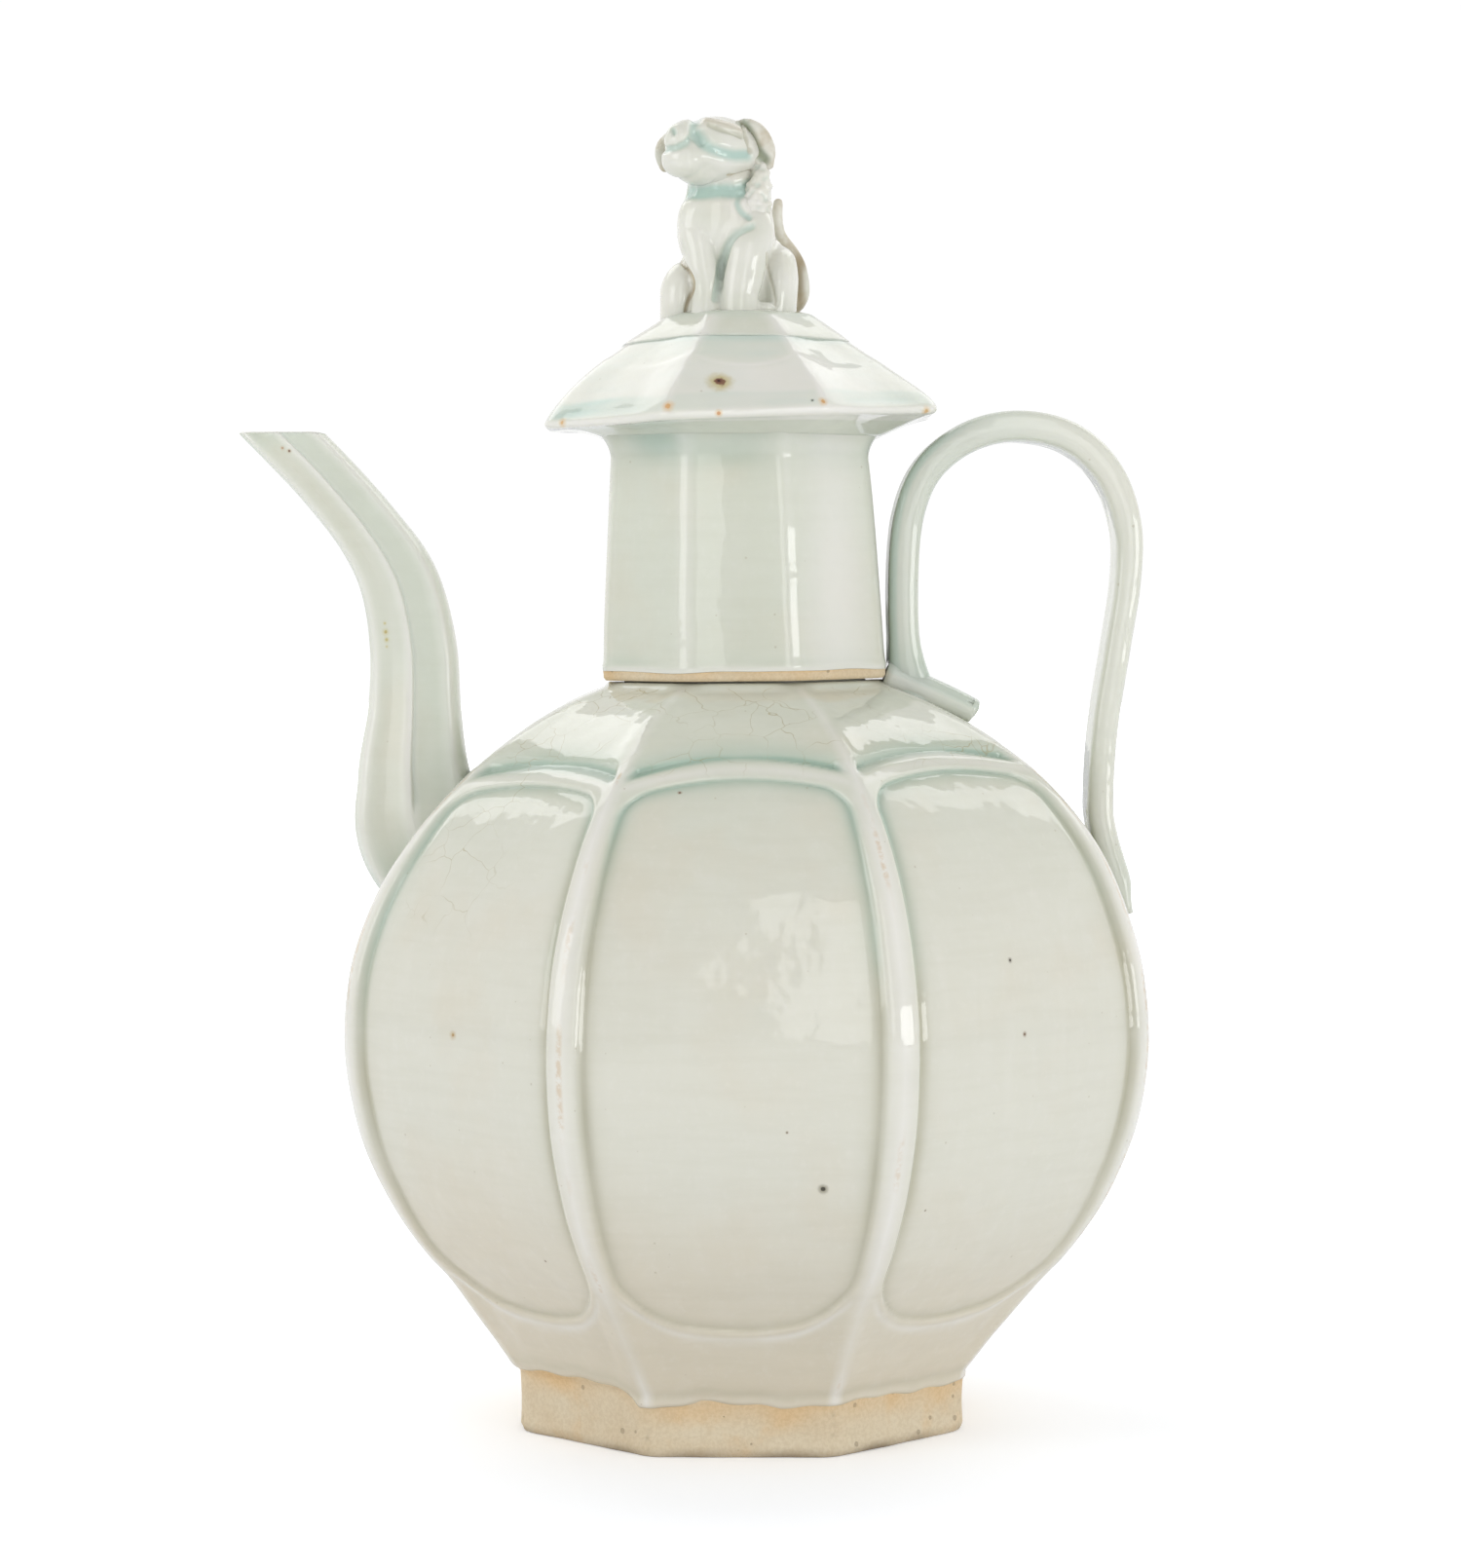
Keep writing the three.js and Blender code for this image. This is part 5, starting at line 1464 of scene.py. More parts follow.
SPOUT_SPOTS = [
    (395, 640, 0.0003, (0.52, 0.47, 0.25, 1), (0.58, 0.56, 0.40, 1)),
    (396, 649, 0.0005, (0.44, 0.36, 0.14, 1), (0.56, 0.53, 0.32, 1)),
    (397, 657, 0.0004, (0.48, 0.42, 0.18, 1), (0.56, 0.53, 0.32, 1)),
    (397, 664, 0.0003, (0.52, 0.47, 0.25, 1), (0.58, 0.56, 0.40, 1)),
    (297, 463, 0.0003, (0.16, 0.08, 0.05, 1), (0.5, 0.42, 0.28, 1)),
    (290, 460, 0.0003, (0.40, 0.24, 0.15, 1), (0.55, 0.46, 0.33, 1)),
]


def spout_path(form, body):
    """Spine and half thickness of the spout, to a little beyond its lip."""
    root_z = shoulder_height(body) - form.root_drop
    root_x = face_distance(root_z, body)
    rows = [
        (AXIS_X - root_x - reach * form.reach, 0, root_z + rise * form.rise,
         mix(form.tip_depth, form.root_depth, thick) / 2)
        for reach, rise, thick in SPOUT_SPINE_SHARES]
    path = smooth_path(rows, SPOUT_ROWS)
    ahead = path[-1] - path[-2]
    ahead *= form.tip_depth / np.linalg.norm(ahead[:3])
    ahead[3] = 0
    path = np.vstack([path, path[-1] + ahead])
    return path[:, :3], path[:, 3]


def spout_sections(run):
    """Sections along the spout. Their side recess fades out towards the root."""
    shapes = []
    for part in run:
        depth = float(ramp(*SPOUT_RECESS_START_SHARES, part))
        half = list(SPOUT_HALF_SECTION_SHARES)
        for index in SPOUT_RECESS:
            side, across = half[index]
            level = 1 - 0.1 * max(across, 0)
            half[index] = (mix(level, side, depth), across)
        corners = half + [(-side, across) for side, across in reversed(half)]
        shapes.append(soft_polygon(corners, SPOUT_CUT))
    return np.array(shapes)


def cut_level(rings, level):
    """Rings with each strand of points stopped where it passes the level."""
    done = rings.copy()
    for column in range(rings.shape[1]):
        z = rings[:, column, 2]
        over = np.nonzero(z > level)[0]
        if len(over) == 0:
            raise RuntimeError("the spout ends under its lip")
        row = over[0]
        part = (level - z[row - 1]) / (z[row] - z[row - 1])
        done[row:, column] = mix(rings[row - 1, column], rings[row, column], part)
    return done


def spout_marks(section, run):
    """Glaze thin on the ridges, and pooled along the recess, at the root and at the lip."""
    side, across = np.abs(section[..., 0]), section[..., 1]
    run = np.broadcast_to(run[:, None], side.shape)
    ridge = np.minimum.reduce([np.hypot(side - s, across - d) for s, d in SPOUT_RIDGES_SHARES])
    stain = 0.2 * bell(across, -0.45, 0.3) * (side > 0.6) * (0.6 + 0.4 * np.sin(9 * run))
    recess = ramp(0.02, 0.1, across) * ramp(0.88, 0.78, across)
    step = bell(across, 0.06, 0.03) * (side > 0.7)
    pool = np.maximum(0.12 * recess, 0.4 * step) * ramp(*SPOUT_RECESS_START_SHARES, run)
    pool = np.clip(pool + 0.08 + 0.5 * ramp(0.24, 0.15, run) + 0.2 * ramp(0.96, 1.0, run), 0, 1)
    return {"pool": pool, "thin": 0.8 * np.clip(1 - ridge / 0.2, 0, 1), "stain": stain}


def lip_faces(outer, inner, outer_start, inner_start):
    """Faces that join the outside's last ring to the bore's nearest points."""
    count = len(outer)
    shift = int(np.argmin(np.linalg.norm(inner - outer[0], axis=1)))
    faces = []
    for column in range(count):
        after = (column + 1) % count
        faces.append((
            outer_start + column, outer_start + after,
            inner_start + (after + shift) % count, inner_start + (column + shift) % count))
    return faces


class EWER_OT_spout(bpy.types.Operator):
    """Build the hollow faceted spout, cut level at its lip"""

    bl_idname = "ewer.spout"
    bl_label = "Spout"

    def execute(self, context):
        form = context.scene.ewer_spout
        path, deep = spout_path(form, context.scene.ewer_body)
        rows = len(path)
        run = np.linspace(0, 1, rows)
        section = spout_sections(run)
        columns = section.shape[1]
        wide = deep * form.flatness
        flare = 1 + 0.04 * ramp(0.3, 0.16, run)
        circle = np.linspace(0, 2 * math.pi, columns + 1)[:-1] - math.pi / 2
        bore_section = np.stack([np.cos(circle), np.sin(circle)], axis=1)
        outer = cut_level(sweep_points(path, wide * flare, deep * flare, section), SPOUT_LIP - LIP_ROUND)
        inset = sweep_points(path, wide * flare - LIP_INSET, deep * flare - LIP_INSET, section)
        rim = cut_level(inset, SPOUT_LIP)[-1]
        channel = sweep_points(path, wide - form.wall, deep - form.wall, bore_section)
        bore = cut_level(channel, SPOUT_LIP)[::-1]
        points = np.concatenate([outer.reshape(-1, 3), rim, bore.reshape(-1, 3)])
        start = (rows + 1) * columns
        faces = ring_faces(rows + 1, columns) + ring_faces(rows, columns, start=start)
        faces += lip_faces(rim, bore[0], rows * columns, start)
        marks = spout_marks(section, run)
        for key, at_rim, in_bore in (("pool", 0, 0.3), ("thin", 1, 0), ("stain", 0, 0)):
            marks[key] = [*marks[key].ravel(), *[at_rim] * columns, *[in_bore] * rows * columns]
        spots = spots_on(points, faces, SPOUT_SPOTS)
        material = glazed_material("Spout glaze", rust=0.2, roughness=DRY_GLOSS, spots=spots)
        piece = new_piece("spout_tube", points, faces, material, marks)
        dress(piece, "ewer", "celadon_glaze", "spout")
        return {"FINISHED"}


# Round the strap, from its upper root to its lower one: out and up
HANDLE_LOOP_SHARES = [
    (0.0, 0.1), (-0.015, 0.4), (0.01, 0.66), (0.1, 0.84), (0.28, 0.96), (0.5, 1.0), (0.73, 0.955),
    (0.9, 0.82), (0.985, 0.62), (0.985, 0.4), (0.94, 0.14), (0.89, -0.14), (0.87, -0.4), (0.885, -0.56),
]
STRAP_SECTION_SHARES = [
    (1.0, 0.35), (0.93, 0.85), (0.72, 1.0), (0.4, 0.9), (0.0, 0.78), (-0.4, 0.9), (-0.72, 1.0), (-0.93, 0.85),
    (-1.0, 0.35), (-1.0, -0.35), (-0.93, -0.85), (-0.7, -1.0), (0.7, -1.0), (0.93, -0.85), (1.0, -0.35),
]
PAD_PLACES_SHARES = ((-0.3, 0.9, 0.1), (0.9, 1, 0.02))


def strap_path(form, body):
    """Middle line of the strap, from its pad round the loop to its toe on the body."""
    shoulder = shoulder_height(body)
    near = SLEEVE_RADIUS * FLAT + form.sleeve_gap + form.thickness / 2
    root_z = shoulder - form.root_drop
    span = face_distance(root_z, body) + form.overreach - near
    top = form.rise - form.thickness / 2
    toe_z = root_z - form.toe
    start = (AXIS_X + near + form.thickness / 2, 0, shoulder - form.thickness)
    loop = [(AXIS_X + near + out * span, 0, shoulder + up * top) for out, up in HANDLE_LOOP_SHARES]
    toe = (AXIS_X + face_distance(toe_z, body) + form.thickness / 3, 0, toe_z)
    return smooth_path([start, *loop, toe], HANDLE_ROWS)


def strap(form, body, section):
    """Points of the strap, with its pooled and its thin glaze."""
    path = strap_path(form, body)
    run = np.linspace(0, 1, len(path))
    thick = mix(form.thickness, form.lower_thickness, ramp(0.4, 0.7, run)) / 2
    thick = thick * mix(1, 0.38, ramp(0.96, 1.0, run)) * (1 + 0.35 * ramp(0.1, 0.03, run))
    wide = form.width / 2 * mix(1, 1.12, ramp(0.85, 1, run))
    side, out = np.abs(section[:, 0]), section[:, 1]
    edge = np.clip(1 - np.abs(1 - side) / 0.2, 0, 1)
    groove = np.clip(1 - side / 0.5, 0, 1) * (out < 0)
    ends = 0.4 * ramp(0.12, 0.04, run) + 0.4 * ramp(0.88, 0.98, run)
    outer_edge = bell(side, 0.95, 0.08) * ramp(-0.3, -0.6, out)
    pool = (ends + 0.32 * ramp(0.5, 0.3, run))[:, None] + 0.35 * groove
    pool = np.clip(pool + 0.7 * np.outer(ramp(0.36, 0.28, run), outer_edge), 0, 1)
    return sweep_points(path, wide, thick, section), pool, np.broadcast_to(0.35 * edge, pool.shape)


def pad(form, body, section):
    """Points of the pad along the shoulder, with its pooled and its thin glaze."""
    near = SLEEVE_RADIUS * FLAT + form.sleeve_gap + form.thickness / 2
    x = near + spaced(*PAD_PLACES_SHARES) * form.pad_length
    run = np.linspace(0, 1, len(x))
    shoulder = body.widest_z + body.upper_rise * np.sqrt(1 - (x / FLAT / BODY_RADIUS) ** 2)
    lift = form.pad_thickness * (0.36 + 0.2 * ramp(0.3, 1.0, run))
    path = np.stack([AXIS_X + x, 0 * x, shoulder + lift], axis=1)
    rounded_end = np.sqrt(np.clip(1 - (run / 1.01) ** 16, 0.2, 1))
    deep = form.pad_thickness / 2 * (1 - 0.1 * ramp(0.3, 1.0, run)) * rounded_end
    wide = form.width / 2 * (1.02 - 0.06 * ramp(0.85, 1.0, run))
    grid = sweep_points(path, wide, deep, section)
    grid = warped(grid.reshape(-1, 3), body).reshape(grid.shape)
    pool = np.broadcast_to(0.35 + 0.4 * (section[:, 1] < -0.2), grid.shape[:2])
    return grid, pool, np.full(grid.shape[:2], 0.4)


class EWER_OT_handle(bpy.types.Operator):
    """Build the strap handle, with its pad on the shoulder and its lower root"""

    bl_idname = "ewer.handle"
    bl_label = "Handle"

    def execute(self, context):
        form, body = context.scene.ewer_handle, context.scene.ewer_body
        section = soft_polygon(STRAP_SECTION_SHARES, HANDLE_CUT)[::-1] * (1, -1)
        points, faces, pools, thins = [], [], [], []
        for grid, pool, thin in (strap(form, body, section), pad(form, body, section)):
            faces += ring_faces(len(grid), len(section), fan_ends=True, start=len(points))
            points += [*grid.reshape(-1, 3), grid[0].mean(0), grid[-1].mean(0)]
            pools += [*pool.ravel(), 0.3, 0.3]
            thins += [*thin.ravel(), 0, 0]
        material = glazed_material("Handle glaze", rust=0.5, speck_size=0.12)
        piece = new_piece("handle_strap", points, faces, material, {"pool": pools, "thin": thins})
        dress(piece, "ewer", "celadon_glaze", "handle")
        return {"FINISHED"}


# Lion. Its tables are in shares of its height: x, y, z, half width, half depth.
HEAD_TURN = -math.radians(40)
HEAD_CENTRE_SHARES = (-0.151, -0.055, 0.821)
TORSO_SHARES = [
    (0.0, 0.05, -0.02, 0.2, 0.22), (-0.01, 0.05, 0.15, 0.21, 0.23), (-0.07, 0.01, 0.31, 0.235, 0.23),
    (-0.1, -0.03, 0.43, 0.25, 0.215), (-0.1, -0.03, 0.54, 0.235, 0.19), (-0.105, -0.02, 0.62, 0.205, 0.17),
    (-0.11, -0.02, 0.7, 0.185, 0.155), (-0.12, -0.02, 0.76, 0.16, 0.13),
]
CHEST_SHARES = [
    (-0.15, -0.12, 0.6, 0.12, 0.09), (-0.17, -0.14, 0.5, 0.165, 0.11), (-0.185, -0.15, 0.42, 0.16, 0.1),
    (-0.2, -0.14, 0.33, 0.12, 0.08),
]
LEFT_FORELEG_SHARES = [
    (-0.25, -0.1, 0.48, 0.06, 0.06), (-0.25, -0.15, 0.4, 0.09, 0.09), (-0.225, -0.19, 0.28, 0.08, 0.085),
    (-0.2, -0.205, 0.16, 0.074, 0.078), (-0.2, -0.21, 0.08, 0.072, 0.08), (-0.205, -0.225, -0.05, 0.082, 0.1),
]
RIGHT_FORELEG_SHARES = [
    (0.06, -0.12, 0.52, 0.06, 0.05), (0.05, -0.16, 0.43, 0.1, 0.085), (0.012, -0.21, 0.3, 0.108, 0.09),
    (-0.01, -0.225, 0.16, 0.1, 0.085), (-0.025, -0.23, 0.08, 0.094, 0.085), (-0.03, -0.245, -0.05, 0.1, 0.1),
]
LEFT_HAUNCH_SHARES = [
    (-0.3, -0.02, 0.24, 0.045, 0.07), (-0.315, -0.04, 0.19, 0.085, 0.12), (-0.33, -0.06, 0.12, 0.102, 0.145),
    (-0.335, -0.065, 0.05, 0.1, 0.145), (-0.335, -0.065, -0.09, 0.096, 0.14),
]
RIGHT_HAUNCH_SHARES = [
    (0.14, 0.05, 0.34, 0.05, 0.07), (0.155, 0.04, 0.28, 0.1, 0.15), (0.165, 0.02, 0.2, 0.105, 0.18),
    (0.165, 0.0, 0.1, 0.104, 0.19), (0.155, -0.01, -0.09, 0.094, 0.18),
]
BELLY_SHARES = [
    (-0.1, -0.1, 0.3, 0.1, 0.07), (-0.11, -0.13, 0.16, 0.09, 0.07), (-0.11, -0.14, -0.03, 0.09, 0.07),
]
FLANK_SHARES = [
    (0.07, -0.02, 0.3, 0.08, 0.08), (0.09, -0.05, 0.16, 0.08, 0.1), (0.09, -0.06, -0.03, 0.08, 0.1),
]
RIGHT_PAW_SHARES = [(0.09, -0.12, 0.02, 0.05, 0.03), (0.095, -0.22, 0.02, 0.06, 0.035)]
SKULL_SHARES = [
    (0, 0.22, 0.0, 0.165, 0.125), (0, 0.11, 0, 0.218, 0.168), (0, -0.02, 0, 0.222, 0.176),
    (0, -0.13, -0.01, 0.195, 0.165), (0, -0.2, -0.03, 0.16, 0.135), (0, -0.25, -0.055, 0.125, 0.1),
]
SNOUT_SHARES = [(0, -0.14, 0.045, 0.125, 0.1), (0, -0.225, 0.045, 0.11, 0.1), (0, -0.27, 0.04, 0.088, 0.09)]
CHIN_SHARES = [(0.005, -0.14, -0.09, 0.13, 0.09), (0.01, -0.19, -0.09, 0.105, 0.085)]
LEFT_EAR_SHARES = [
    (-0.19, 0.02, 0.09, 0.05, 0.03), (-0.275, 0.02, 0.1, 0.07, 0.035), (-0.335, 0.015, 0.05, 0.085, 0.03),
    (-0.355, 0.015, -0.015, 0.065, 0.026), (-0.35, 0.01, -0.065, 0.035, 0.02),
]
RIGHT_EAR_SHARES = [
    (-0.035, -0.12, 0.945, 0.035, 0.03), (-0.01, -0.135, 0.94, 0.05, 0.035), (0.04, -0.14, 0.9, 0.066, 0.034),
    (0.078, -0.135, 0.835, 0.076, 0.032), (0.103, -0.13, 0.775, 0.058, 0.028),
    (0.12, -0.12, 0.745, 0.028, 0.02),
]
MANE_SHARES = [
    (0.078, -0.09, 0.76, 0.035, 0.045), (0.073, -0.115, 0.69, 0.052, 0.06), (0.062, -0.13, 0.6, 0.07, 0.07),
    (0.057, -0.135, 0.53, 0.077, 0.07), (0.06, -0.125, 0.46, 0.05, 0.05),
]
TAIL_SHARES = [
    (0.175, 0.21, 0.03, 0.05, 0.045), (0.25, 0.22, 0.06, 0.05, 0.045), (0.288, 0.225, 0.14, 0.047, 0.042),
    (0.28, 0.22, 0.24, 0.042, 0.038), (0.235, 0.2, 0.335, 0.036, 0.034), (0.18, 0.175, 0.42, 0.031, 0.03),
    (0.165, 0.165, 0.5, 0.028, 0.028), (0.17, 0.16, 0.58, 0.026, 0.026),
]

# Strokes of the potter's tool, as seen from the front: half width, depth, pooled glaze, stain, then
# x and z places. A stroke with a negative depth stands proud.
HEAD_STROKES_SHARES = [
    (0.03, 0.014, 0.9, 0, [(-0.249, 0.968), (-0.258, 0.926), (-0.249, 0.874), (-0.226, 0.844)]),
    (0.04, 0.014, 1.0, 0, [(-0.241, 0.889), (-0.196, 0.829), (-0.135, 0.799), (-0.059, 0.784),
                           (0.009, 0.788)]),
    (0.018, 0.014, 0.8, 0, [(-0.367, 0.91), (-0.359, 0.889)]),
    (0.022, 0.014, 0.8, 0, [(-0.402, 0.81), (-0.355, 0.814), (-0.302, 0.835), (-0.276, 0.863)]),
    (0.007, 0.005, 0.2, 0.9, [(-0.09, 0.69), (-0.044, 0.694), (0.024, 0.716), (0.077, 0.739)]),
    (0.032, -0.018, 0, 0.45, [(-0.196, 0.947), (-0.135, 0.94), (-0.075, 0.926), (-0.021, 0.91)]),
    (0.012, 0.008, 0.5, 0.5, [(-0.188, 0.928), (-0.128, 0.91), (-0.059, 0.893), (-0.021, 0.878)]),
    (0.012, 0.01, 0.4, 0.5, [(-0.04, 0.983), (-0.021, 0.926), (0.009, 0.866), (0.032, 0.806)]),
]
EAR_STROKES_SHARES = [
    (0.032, 0.026, 1.0, 0.3, [(-0.014, 0.964), (0.024, 0.889), (0.062, 0.814), (0.1, 0.77)]),
    (0.008, 0.008, 0.3, 0.8, [(-0.03, 0.98), (0.01, 0.92), (0.045, 0.86)]),
]
TORSO_STROKES_SHARES = [
    (0.052, 0.02, 1.1, 0, [(-0.33, 0.618), (-0.226, 0.609), (-0.128, 0.616), (-0.044, 0.613), (0.03, 0.635)]),
    (0.022, 0.012, 0.8, 0, [(-0.021, 0.596), (-0.04, 0.551), (-0.021, 0.506), (0.017, 0.476)]),
    (0.024, 0.014, 0.6, 0, [(0.032, 0.431), (-0.044, 0.394), (-0.09, 0.334), (-0.12, 0.244), (-0.135, 0.153),
                            (-0.15, 0.063)]),
    (0.01, 0.012, 0.3, 1.0, [(-0.336, 0.274), (-0.295, 0.221), (-0.268, 0.168), (-0.268, 0.116),
                             (-0.291, 0.056), (-0.302, 0.003)]),
    (0.008, 0.006, 0.2, 0.4, [(0.111, 0.296), (0.115, 0.221), (0.138, 0.131), (0.157, 0.033)]),
]
LION_GRAIN = 0.00034
CAP_SHARES = (0.35, 0.65, 0.87, 0.98)
# In shares of the lion's height: the size of its lumps, and how far they stand out
SKIN_LUMP_SHARE, SKIN_UNEVEN_SHARE = 0.16, 0.004
TUFT_LUMP_SHARE, TUFT_STRAND_SHARE, TUFT_UNEVEN_SHARE = 0.055, 0.03, 0.009


def cap(end, before):
    """Rows that round off a lobe past its end."""
    ahead = (end[:3] - before[:3]) / np.linalg.norm(end[:3] - before[:3])
    return [[*(end[:3] + ahead * t * min(end[3:])), *(end[3:] * math.sqrt(1 - t * t))] for t in CAP_SHARES]


def lobe(rows, turned=False, side=(1, 0, 0)):
    """Closed sweep through rows of the lion's tables. turned sets it on the head."""
    path = smooth_path(rows, 20)
    path = np.vstack([cap(path[0], path[1])[::-1], path, cap(path[-1], path[-2])])
    circle = np.linspace(0, 2 * math.pi, 25)[:-1]
    section = np.stack([np.cos(circle), np.sin(circle)], axis=1)
    grid = sweep_points(path[:, :3], path[:, 3], path[:, 4], section, side)
    points = np.vstack([grid.reshape(-1, 3), grid[0].mean(0), grid[-1].mean(0)])
    if turned:
        cos, sin = math.cos(HEAD_TURN), math.sin(HEAD_TURN)
        points = points @ np.array([[cos, sin, 0], [-sin, cos, 0], [0, 0, 1]]) + HEAD_CENTRE_SHARES
    return points, ring_faces(len(grid), len(section), fan_ends=True)


def fused(lobes):
    """One skin round all the lobes: its points, normals and faces."""
    points, faces = [], []
    for lobe_points, lobe_faces in lobes:
        start = len(points)
        points.extend(lobe_points)
        faces += [tuple(index + start for index in face) for face in lobe_faces]
    mesh = bpy.data.meshes.new("lump")
    mesh.from_pydata([tuple(point) for point in points], [], faces)
    lump = placed_in_scene("lump", mesh)
    remesh = lump.modifiers.new("skin", "REMESH")
    remesh.mode, remesh.voxel_size = "VOXEL", LION_GRAIN / LION_HEIGHT
    relax = lump.modifiers.new("relax", "SMOOTH")
    relax.factor, relax.iterations = 0.7, 4
    done = bpy.data.meshes.new_from_object(lump.evaluated_get(bpy.context.evaluated_depsgraph_get()))
    skin = np.array([tuple(vertex.co) for vertex in done.vertices])
    normals = np.array([tuple(vertex.normal) for vertex in done.vertices])
    polygons = [tuple(polygon.vertices) for polygon in done.polygons]
    bpy.data.objects.remove(lump)
    bpy.data.meshes.remove(done)
    return skin, normals, polygons


def from_stroke(skin, places):
    """Distance of each point, seen from the front, from the stroke's smooth line."""
    line = smooth_path([(x, z, 0) for x, z in places], 40)[:, :2] if len(places) > 2 else np.array(places)
    nearest = np.full(len(skin), np.inf)
    for first, last in zip(line[:-1], line[1:]):
        span = last - first
        away = skin[:, [0, 2]] - first
        part = np.clip(away @ span / (span @ span), 0, 1)
        nearest = np.minimum(nearest, np.hypot(*(away - part[:, None] * span).T))
    return nearest


def carved(skin, normals, strokes):
    """Skin with strokes cut into its front, and the pooled glaze and stain in them."""
    pool, stain, cut = np.zeros((3, len(skin)))
    in_front = ramp(0.25, -0.2, normals[:, 1]) * (skin[:, 1] < 0)
    for width, depth, pooled, stained, places in strokes:
        weight = ramp(width * 1.25, width * 0.2, from_stroke(skin, places)) * in_front
        cut += depth * weight
        pool = np.maximum(pool, pooled * weight)
        stain = np.maximum(stain, stained * weight)
    return skin - normals * cut[:, None], pool, stain


def lion_place(points, form):
    """From shares of the lion's height to its place in the slip on the crown."""
    placed = points * (LION_HEIGHT - form.lute) + (AXIS_X, 0, LION_BASE)
    away = np.hypot(placed[:, 0] - AXIS_X, placed[:, 1])
    slope = np.clip((away - form.crown_top_radius * FLAT) / (CROWN_RADIUS - form.crown_top_radius), 0, 1)
    ground = mix(CROWN_TOP, low("roof_crown").z, slope ** 0.87) - form.lute
    placed[:, 2] = np.maximum(placed[:, 2], ground)
    return placed


class EWER_OT_lion(bpy.types.Operator):
    """Build the seated lion: torso with its legs, head, mane, ears and tail"""

    bl_idname = "ewer.lion"
    bl_label = "Lion"

    def execute(self, context):
        glaze, toasted = glazed_material("Lion glaze"), toasted_material()
        body = (TORSO_SHARES, CHEST_SHARES, LEFT_FORELEG_SHARES, RIGHT_FORELEG_SHARES, LEFT_HAUNCH_SHARES,
                RIGHT_HAUNCH_SHARES, RIGHT_PAW_SHARES, BELLY_SHARES, FLANK_SHARES)
        legs = ("lion_left_foreleg", "lion_right_foreleg", "lion_left_haunch", "lion_right_haunch")
        torso = self.skin([lobe(rows) for rows in body], TORSO_STROKES_SHARES)
        self.part("lion_torso_skin", torso, glaze, "celadon_glaze", "lion_torso", *legs)
        head = self.skin([lobe(rows, turned=True) for rows in (SKULL_SHARES, SNOUT_SHARES, CHIN_SHARES)],
                         HEAD_STROKES_SHARES)
        self.part("lion_head_skin", head, glaze, "celadon_glaze", "lion_head")
        mane = self.skin([lobe(MANE_SHARES)], tufted=True)
        self.part("lion_mane_tuft", mane, glaze, "celadon_glaze", "lion_mane")
        far_ear = self.skin([lobe(LEFT_EAR_SHARES, turned=True, side=(0, 1, 0))])
        self.part("lion_ear_far", far_ear, toasted, "toasted_clay", "lion_left_ear")
        near_ear = self.skin([lobe(RIGHT_EAR_SHARES, side=(1, 0, 0.4))], EAR_STROKES_SHARES)
        self.part("lion_ear_near", near_ear, toasted, "toasted_clay", "lion_right_ear")
        tail = self.skin([lobe(TAIL_SHARES)], darker_low_left=True)
        self.part("lion_tail_curl", tail, toasted, "toasted_clay", "lion_tail")
        return {"FINISHED"}

    def skin(self, lobes, strokes=(), tufted=False, darker_low_left=False):
        """Points, faces and marks of one part. The mane is tufted, and the tail darker brown low on its left.
        """
        skin, normals, faces = fused(lobes)
        skin, pool, stain = carved(skin, normals, strokes)
        x, y, z = skin.T
        if tufted:
            lumps = wobble(x, y, z, TUFT_LUMP_SHARE) + 0.6 * wobble(x, y, z, TUFT_STRAND_SHARE, 2.0)
            skin = skin + normals * (TUFT_UNEVEN_SHARE * lumps)[:, None]
            pool = ramp(0.1, -0.9, lumps) * 0.4
        if darker_low_left:
            # Darker brown low on the tail's left side.
            stain = ramp(0.38, 0.27, z) * ramp(0.325, 0.285, x)
        uneven = wobble(x, y, z, SKIN_LUMP_SHARE, 1.0)
        skin = skin + normals * (SKIN_UNEVEN_SHARE * uneven)[:, None]
        return skin, faces, {"pool": pool, "stain": stain, "thin": (0.5 + 0.3 * uneven) * (1 - pool)}

    def part(self, name, skin, material, slot, *nodes):
        points, faces, marks = skin
        placed = lion_place(points, bpy.context.scene.ewer_cover)
        dress(new_piece(name, placed, faces, material, marks), "cover", slot, *nodes)


# Studio lights: place, size and power
SOFTBOXES = (
    ("Left softbox", (-0.8, -0.5, 0.45), (0.5, 0.6), 2.1),
    ("Right softbox", (0.78, -0.72, 0.17), (0.5, 0.26), 2.05),
    ("Front softbox", (0.2, -1.22, 0.6), (0.38, 1.15), 2.2),
    ("High left softbox", (-0.6, 0.72, 1.05), (0.7, 0.8), 2.6),
    ("High right softbox", (0.66, 0.7, 1.02), (0.7, 0.8), 2.3),
)
CAMERA_CLIP = (0.05, 30)
FLOOR_REACH = 4.0
FLOOR_WHITE = (0.95, 0.965, 1.0, 1)


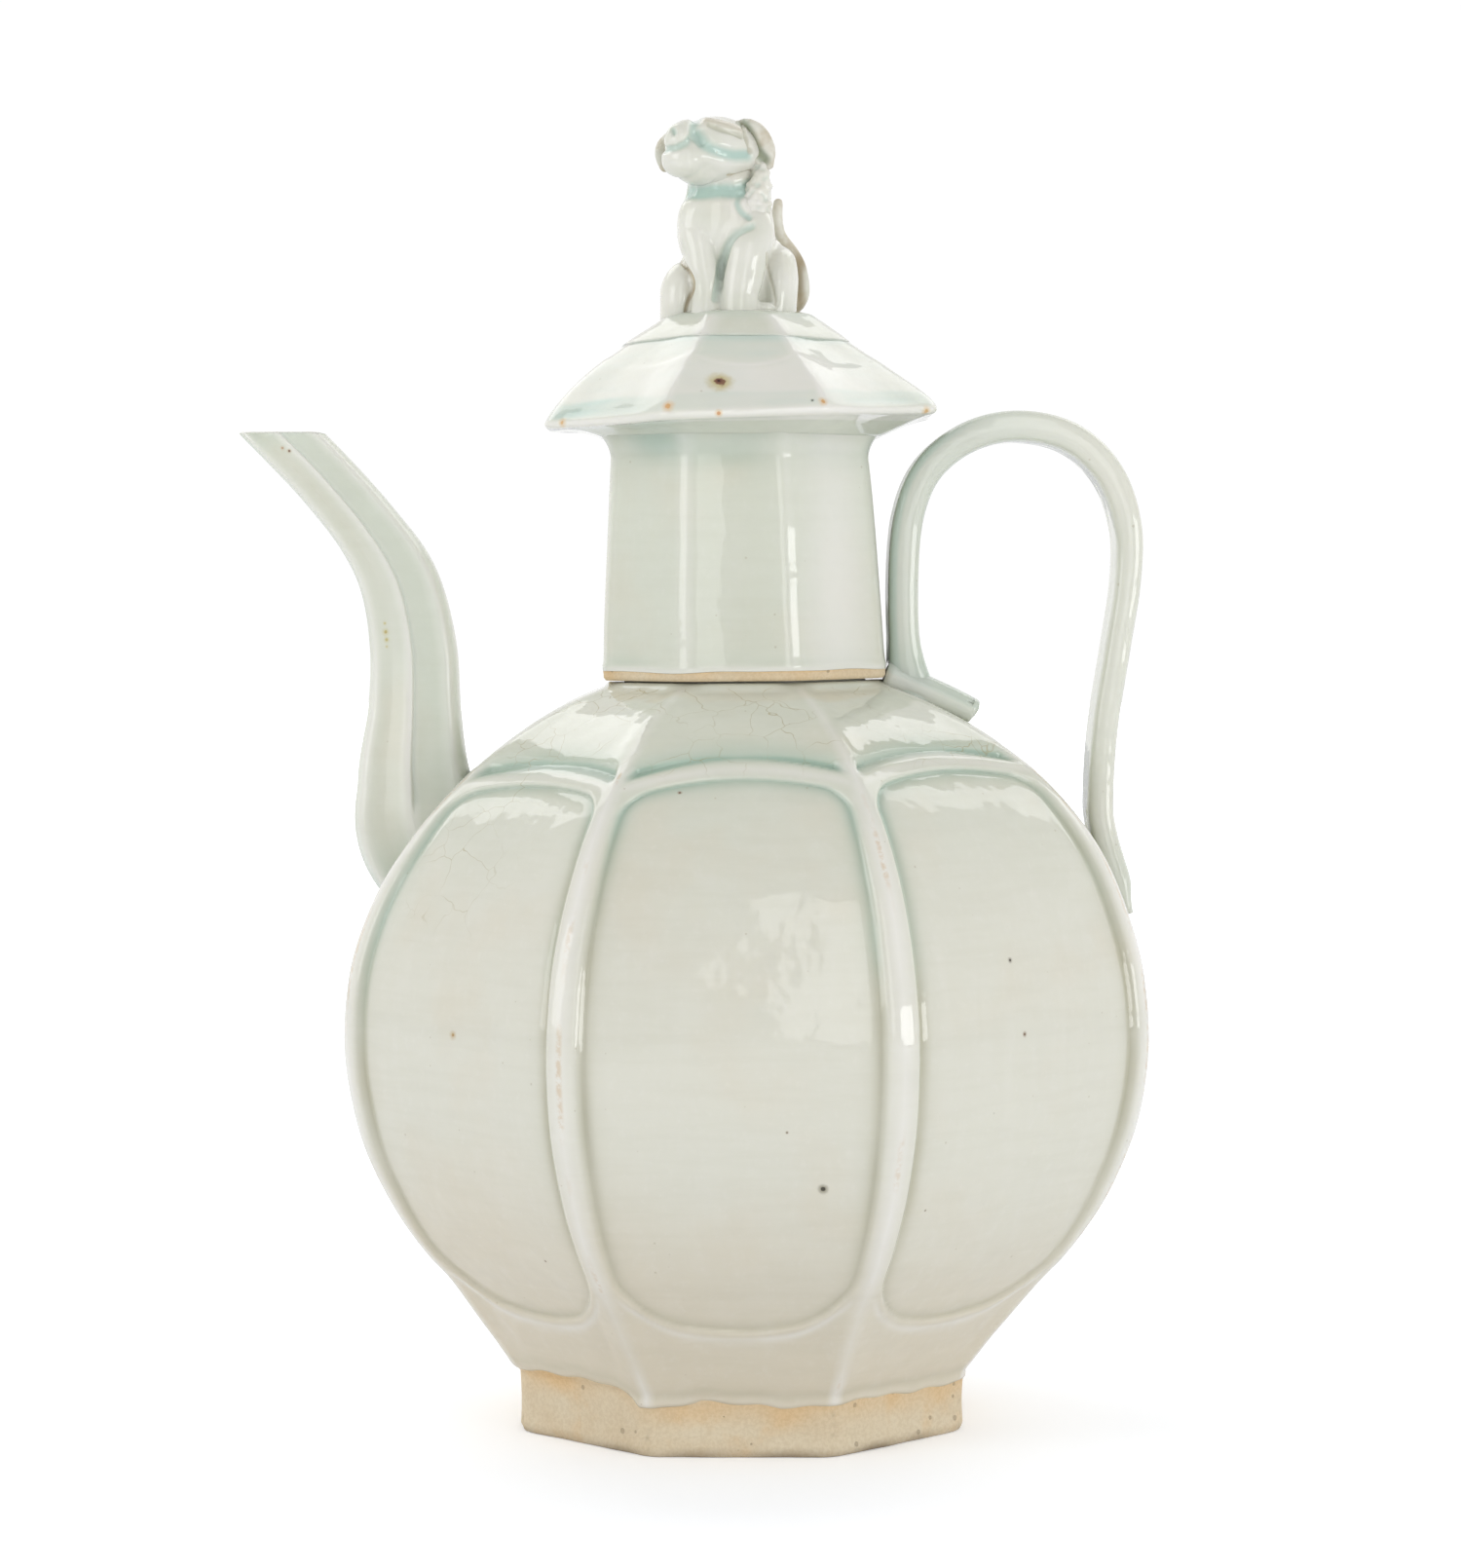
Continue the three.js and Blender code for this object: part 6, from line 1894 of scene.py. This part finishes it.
class EWER_OT_stage(bpy.types.Operator):
    """Set the pale floor, the soft studio light and the camera"""

    bl_idname = "ewer.stage"
    bl_label = "Stage"

    def execute(self, context):
        scene = context.scene
        scene.view_settings.view_transform = "Standard"
        self.floor()
        self.sky(scene)
        for softbox in SOFTBOXES:
            self.softbox(*softbox)
        self.camera(scene)
        return {"FINISHED"}

    def camera(self, scene):
        """The photograph's view: level with the shoulder, dipping a little."""
        camera = bpy.data.cameras.new("Camera")
        camera.sensor_width = SENSOR
        camera.sensor_fit = "AUTO"
        camera.lens = FOCAL_PIXELS * SENSOR / PHOTO_HEIGHT
        camera.clip_start, camera.clip_end = CAMERA_CLIP
        scene.camera = placed_in_scene("Camera", camera)
        scene.camera.location = CAMERA_PLACE
        scene.camera.rotation_euler = (math.pi / 2 - CAMERA_DIP, 0, 0)

    def floor(self):
        """White table, glowing for the camera until it meets the white behind."""
        mesh = bpy.data.meshes.new("Floor")
        corners = [(-1, -1, 0), (1, -1, 0), (1, 1, 0), (-1, 1, 0)]
        mesh.from_pydata([Vector(corner) * FLOOR_REACH for corner in corners], [], [(0, 1, 2, 3)])
        material = bpy.data.materials.new("Floor")
        material.use_nodes = True
        shader = material.node_tree.nodes["Principled BSDF"]
        net = Net(material.node_tree)
        net.set(shader, Base_Color=FLOOR_WHITE, Roughness=0.9, Specular_IOR_Level=0.0)
        seen = net.add("ShaderNodeLightPath").outputs["Is Camera Ray"]
        place = net.add("ShaderNodeTexCoord").outputs["Object"]
        away = net.vector("LENGTH", place)
        glow = net.ramp(away, BODY_RADIUS, 4 * BODY_RADIUS, 0.17, 1.0)
        net.set(shader, Emission_Color=(1, 1, 1, 1), Emission_Strength=net.math("MULTIPLY", seen, glow))
        mesh.materials.append(material)
        placed_in_scene("Floor", mesh)

    def sky(self, scene):
        """White all round for the camera, and darker in front for what the glaze mirrors."""
        world = bpy.data.worlds.new("Studio")
        scene.world = world
        world.use_nodes = True
        net = Net(world.node_tree)
        net.tree.nodes.clear()
        toward = net.add("ShaderNodeTexCoord").outputs["Generated"]
        x, y, z = net.add("ShaderNodeSeparateXYZ", toward).outputs
        beside = net.ramp(net.math("ABSOLUTE", x), 0.3, 0.8)
        pale = net.math("MAXIMUM", beside, net.ramp(y, 0.0, 0.5))
        shade = net.math("ADD", 0.43, net.math("MULTIPLY", pale, 0.6))
        shade = net.math("MULTIPLY", shade, net.ramp(z, 0.7, 0.95, 1.0, 0.85))
        seen = net.add("ShaderNodeLightPath").outputs["Is Camera Ray"]
        strength = net.math("MAXIMUM", seen, shade)
        background = net.add("ShaderNodeBackground", (1, 1, 1, 1), strength)
        net.add("ShaderNodeOutputWorld", background.outputs[0])

    def softbox(self, name, place, size, power):
        """One studio light, turned towards the body."""
        light = bpy.data.lights.new(name, "AREA")
        light.shape = "RECTANGLE"
        light.size, light.size_y = size
        light.energy = power
        lamp = placed_in_scene(name, light)
        lamp.location = place
        aim = Vector((AXIS_X, 0, BODY_RADIUS)) - Vector(place)
        lamp.rotation_euler = aim.to_track_quat("-Z", "Y").to_euler()


OPERATORS = (
    EWER_OT_stage, EWER_OT_foot, EWER_OT_body, EWER_OT_neck, EWER_OT_spout, EWER_OT_handle,
    EWER_OT_sleeve, EWER_OT_roof, EWER_OT_crown, EWER_OT_lion,
)


class EWER_PT_pieces(bpy.types.Panel):
    """Lists the ewer's pieces in the order they are built"""

    bl_idname = "EWER_PT_pieces"
    bl_label = "Covered wine ewer"
    bl_space_type = "VIEW_3D"
    bl_region_type = "UI"
    bl_category = "Ewer"

    def draw(self, context):
        for operator in OPERATORS:
            self.layout.operator(operator.bl_idname)
        for key in PROPERTY_GROUPS:
            box = self.layout.box()
            settings = getattr(context.scene, key)
            for prop in settings.bl_rna.properties:
                if prop.identifier not in ("rna_type", "name"):
                    box.prop(settings, prop.identifier)


CLASSES = (*PROPERTY_GROUPS.values(), *OPERATORS, EWER_PT_pieces)


def register():
    for cls in CLASSES:
        bpy.utils.register_class(cls)
    for key, cls in PROPERTY_GROUPS.items():
        setattr(bpy.types.Scene, key, PointerProperty(type=cls))


def unregister():
    for key in PROPERTY_GROUPS:
        delattr(bpy.types.Scene, key)
    for cls in reversed(CLASSES):
        bpy.utils.unregister_class(cls)


def main():
    register()
    for name, kind in GROUP_KINDS.items():
        node_group(name, *kind)
    for operator in OPERATORS:
        area, name = operator.bl_idname.split(".")
        getattr(getattr(bpy.ops, area), name)()


if __name__ == "__main__":
    main()
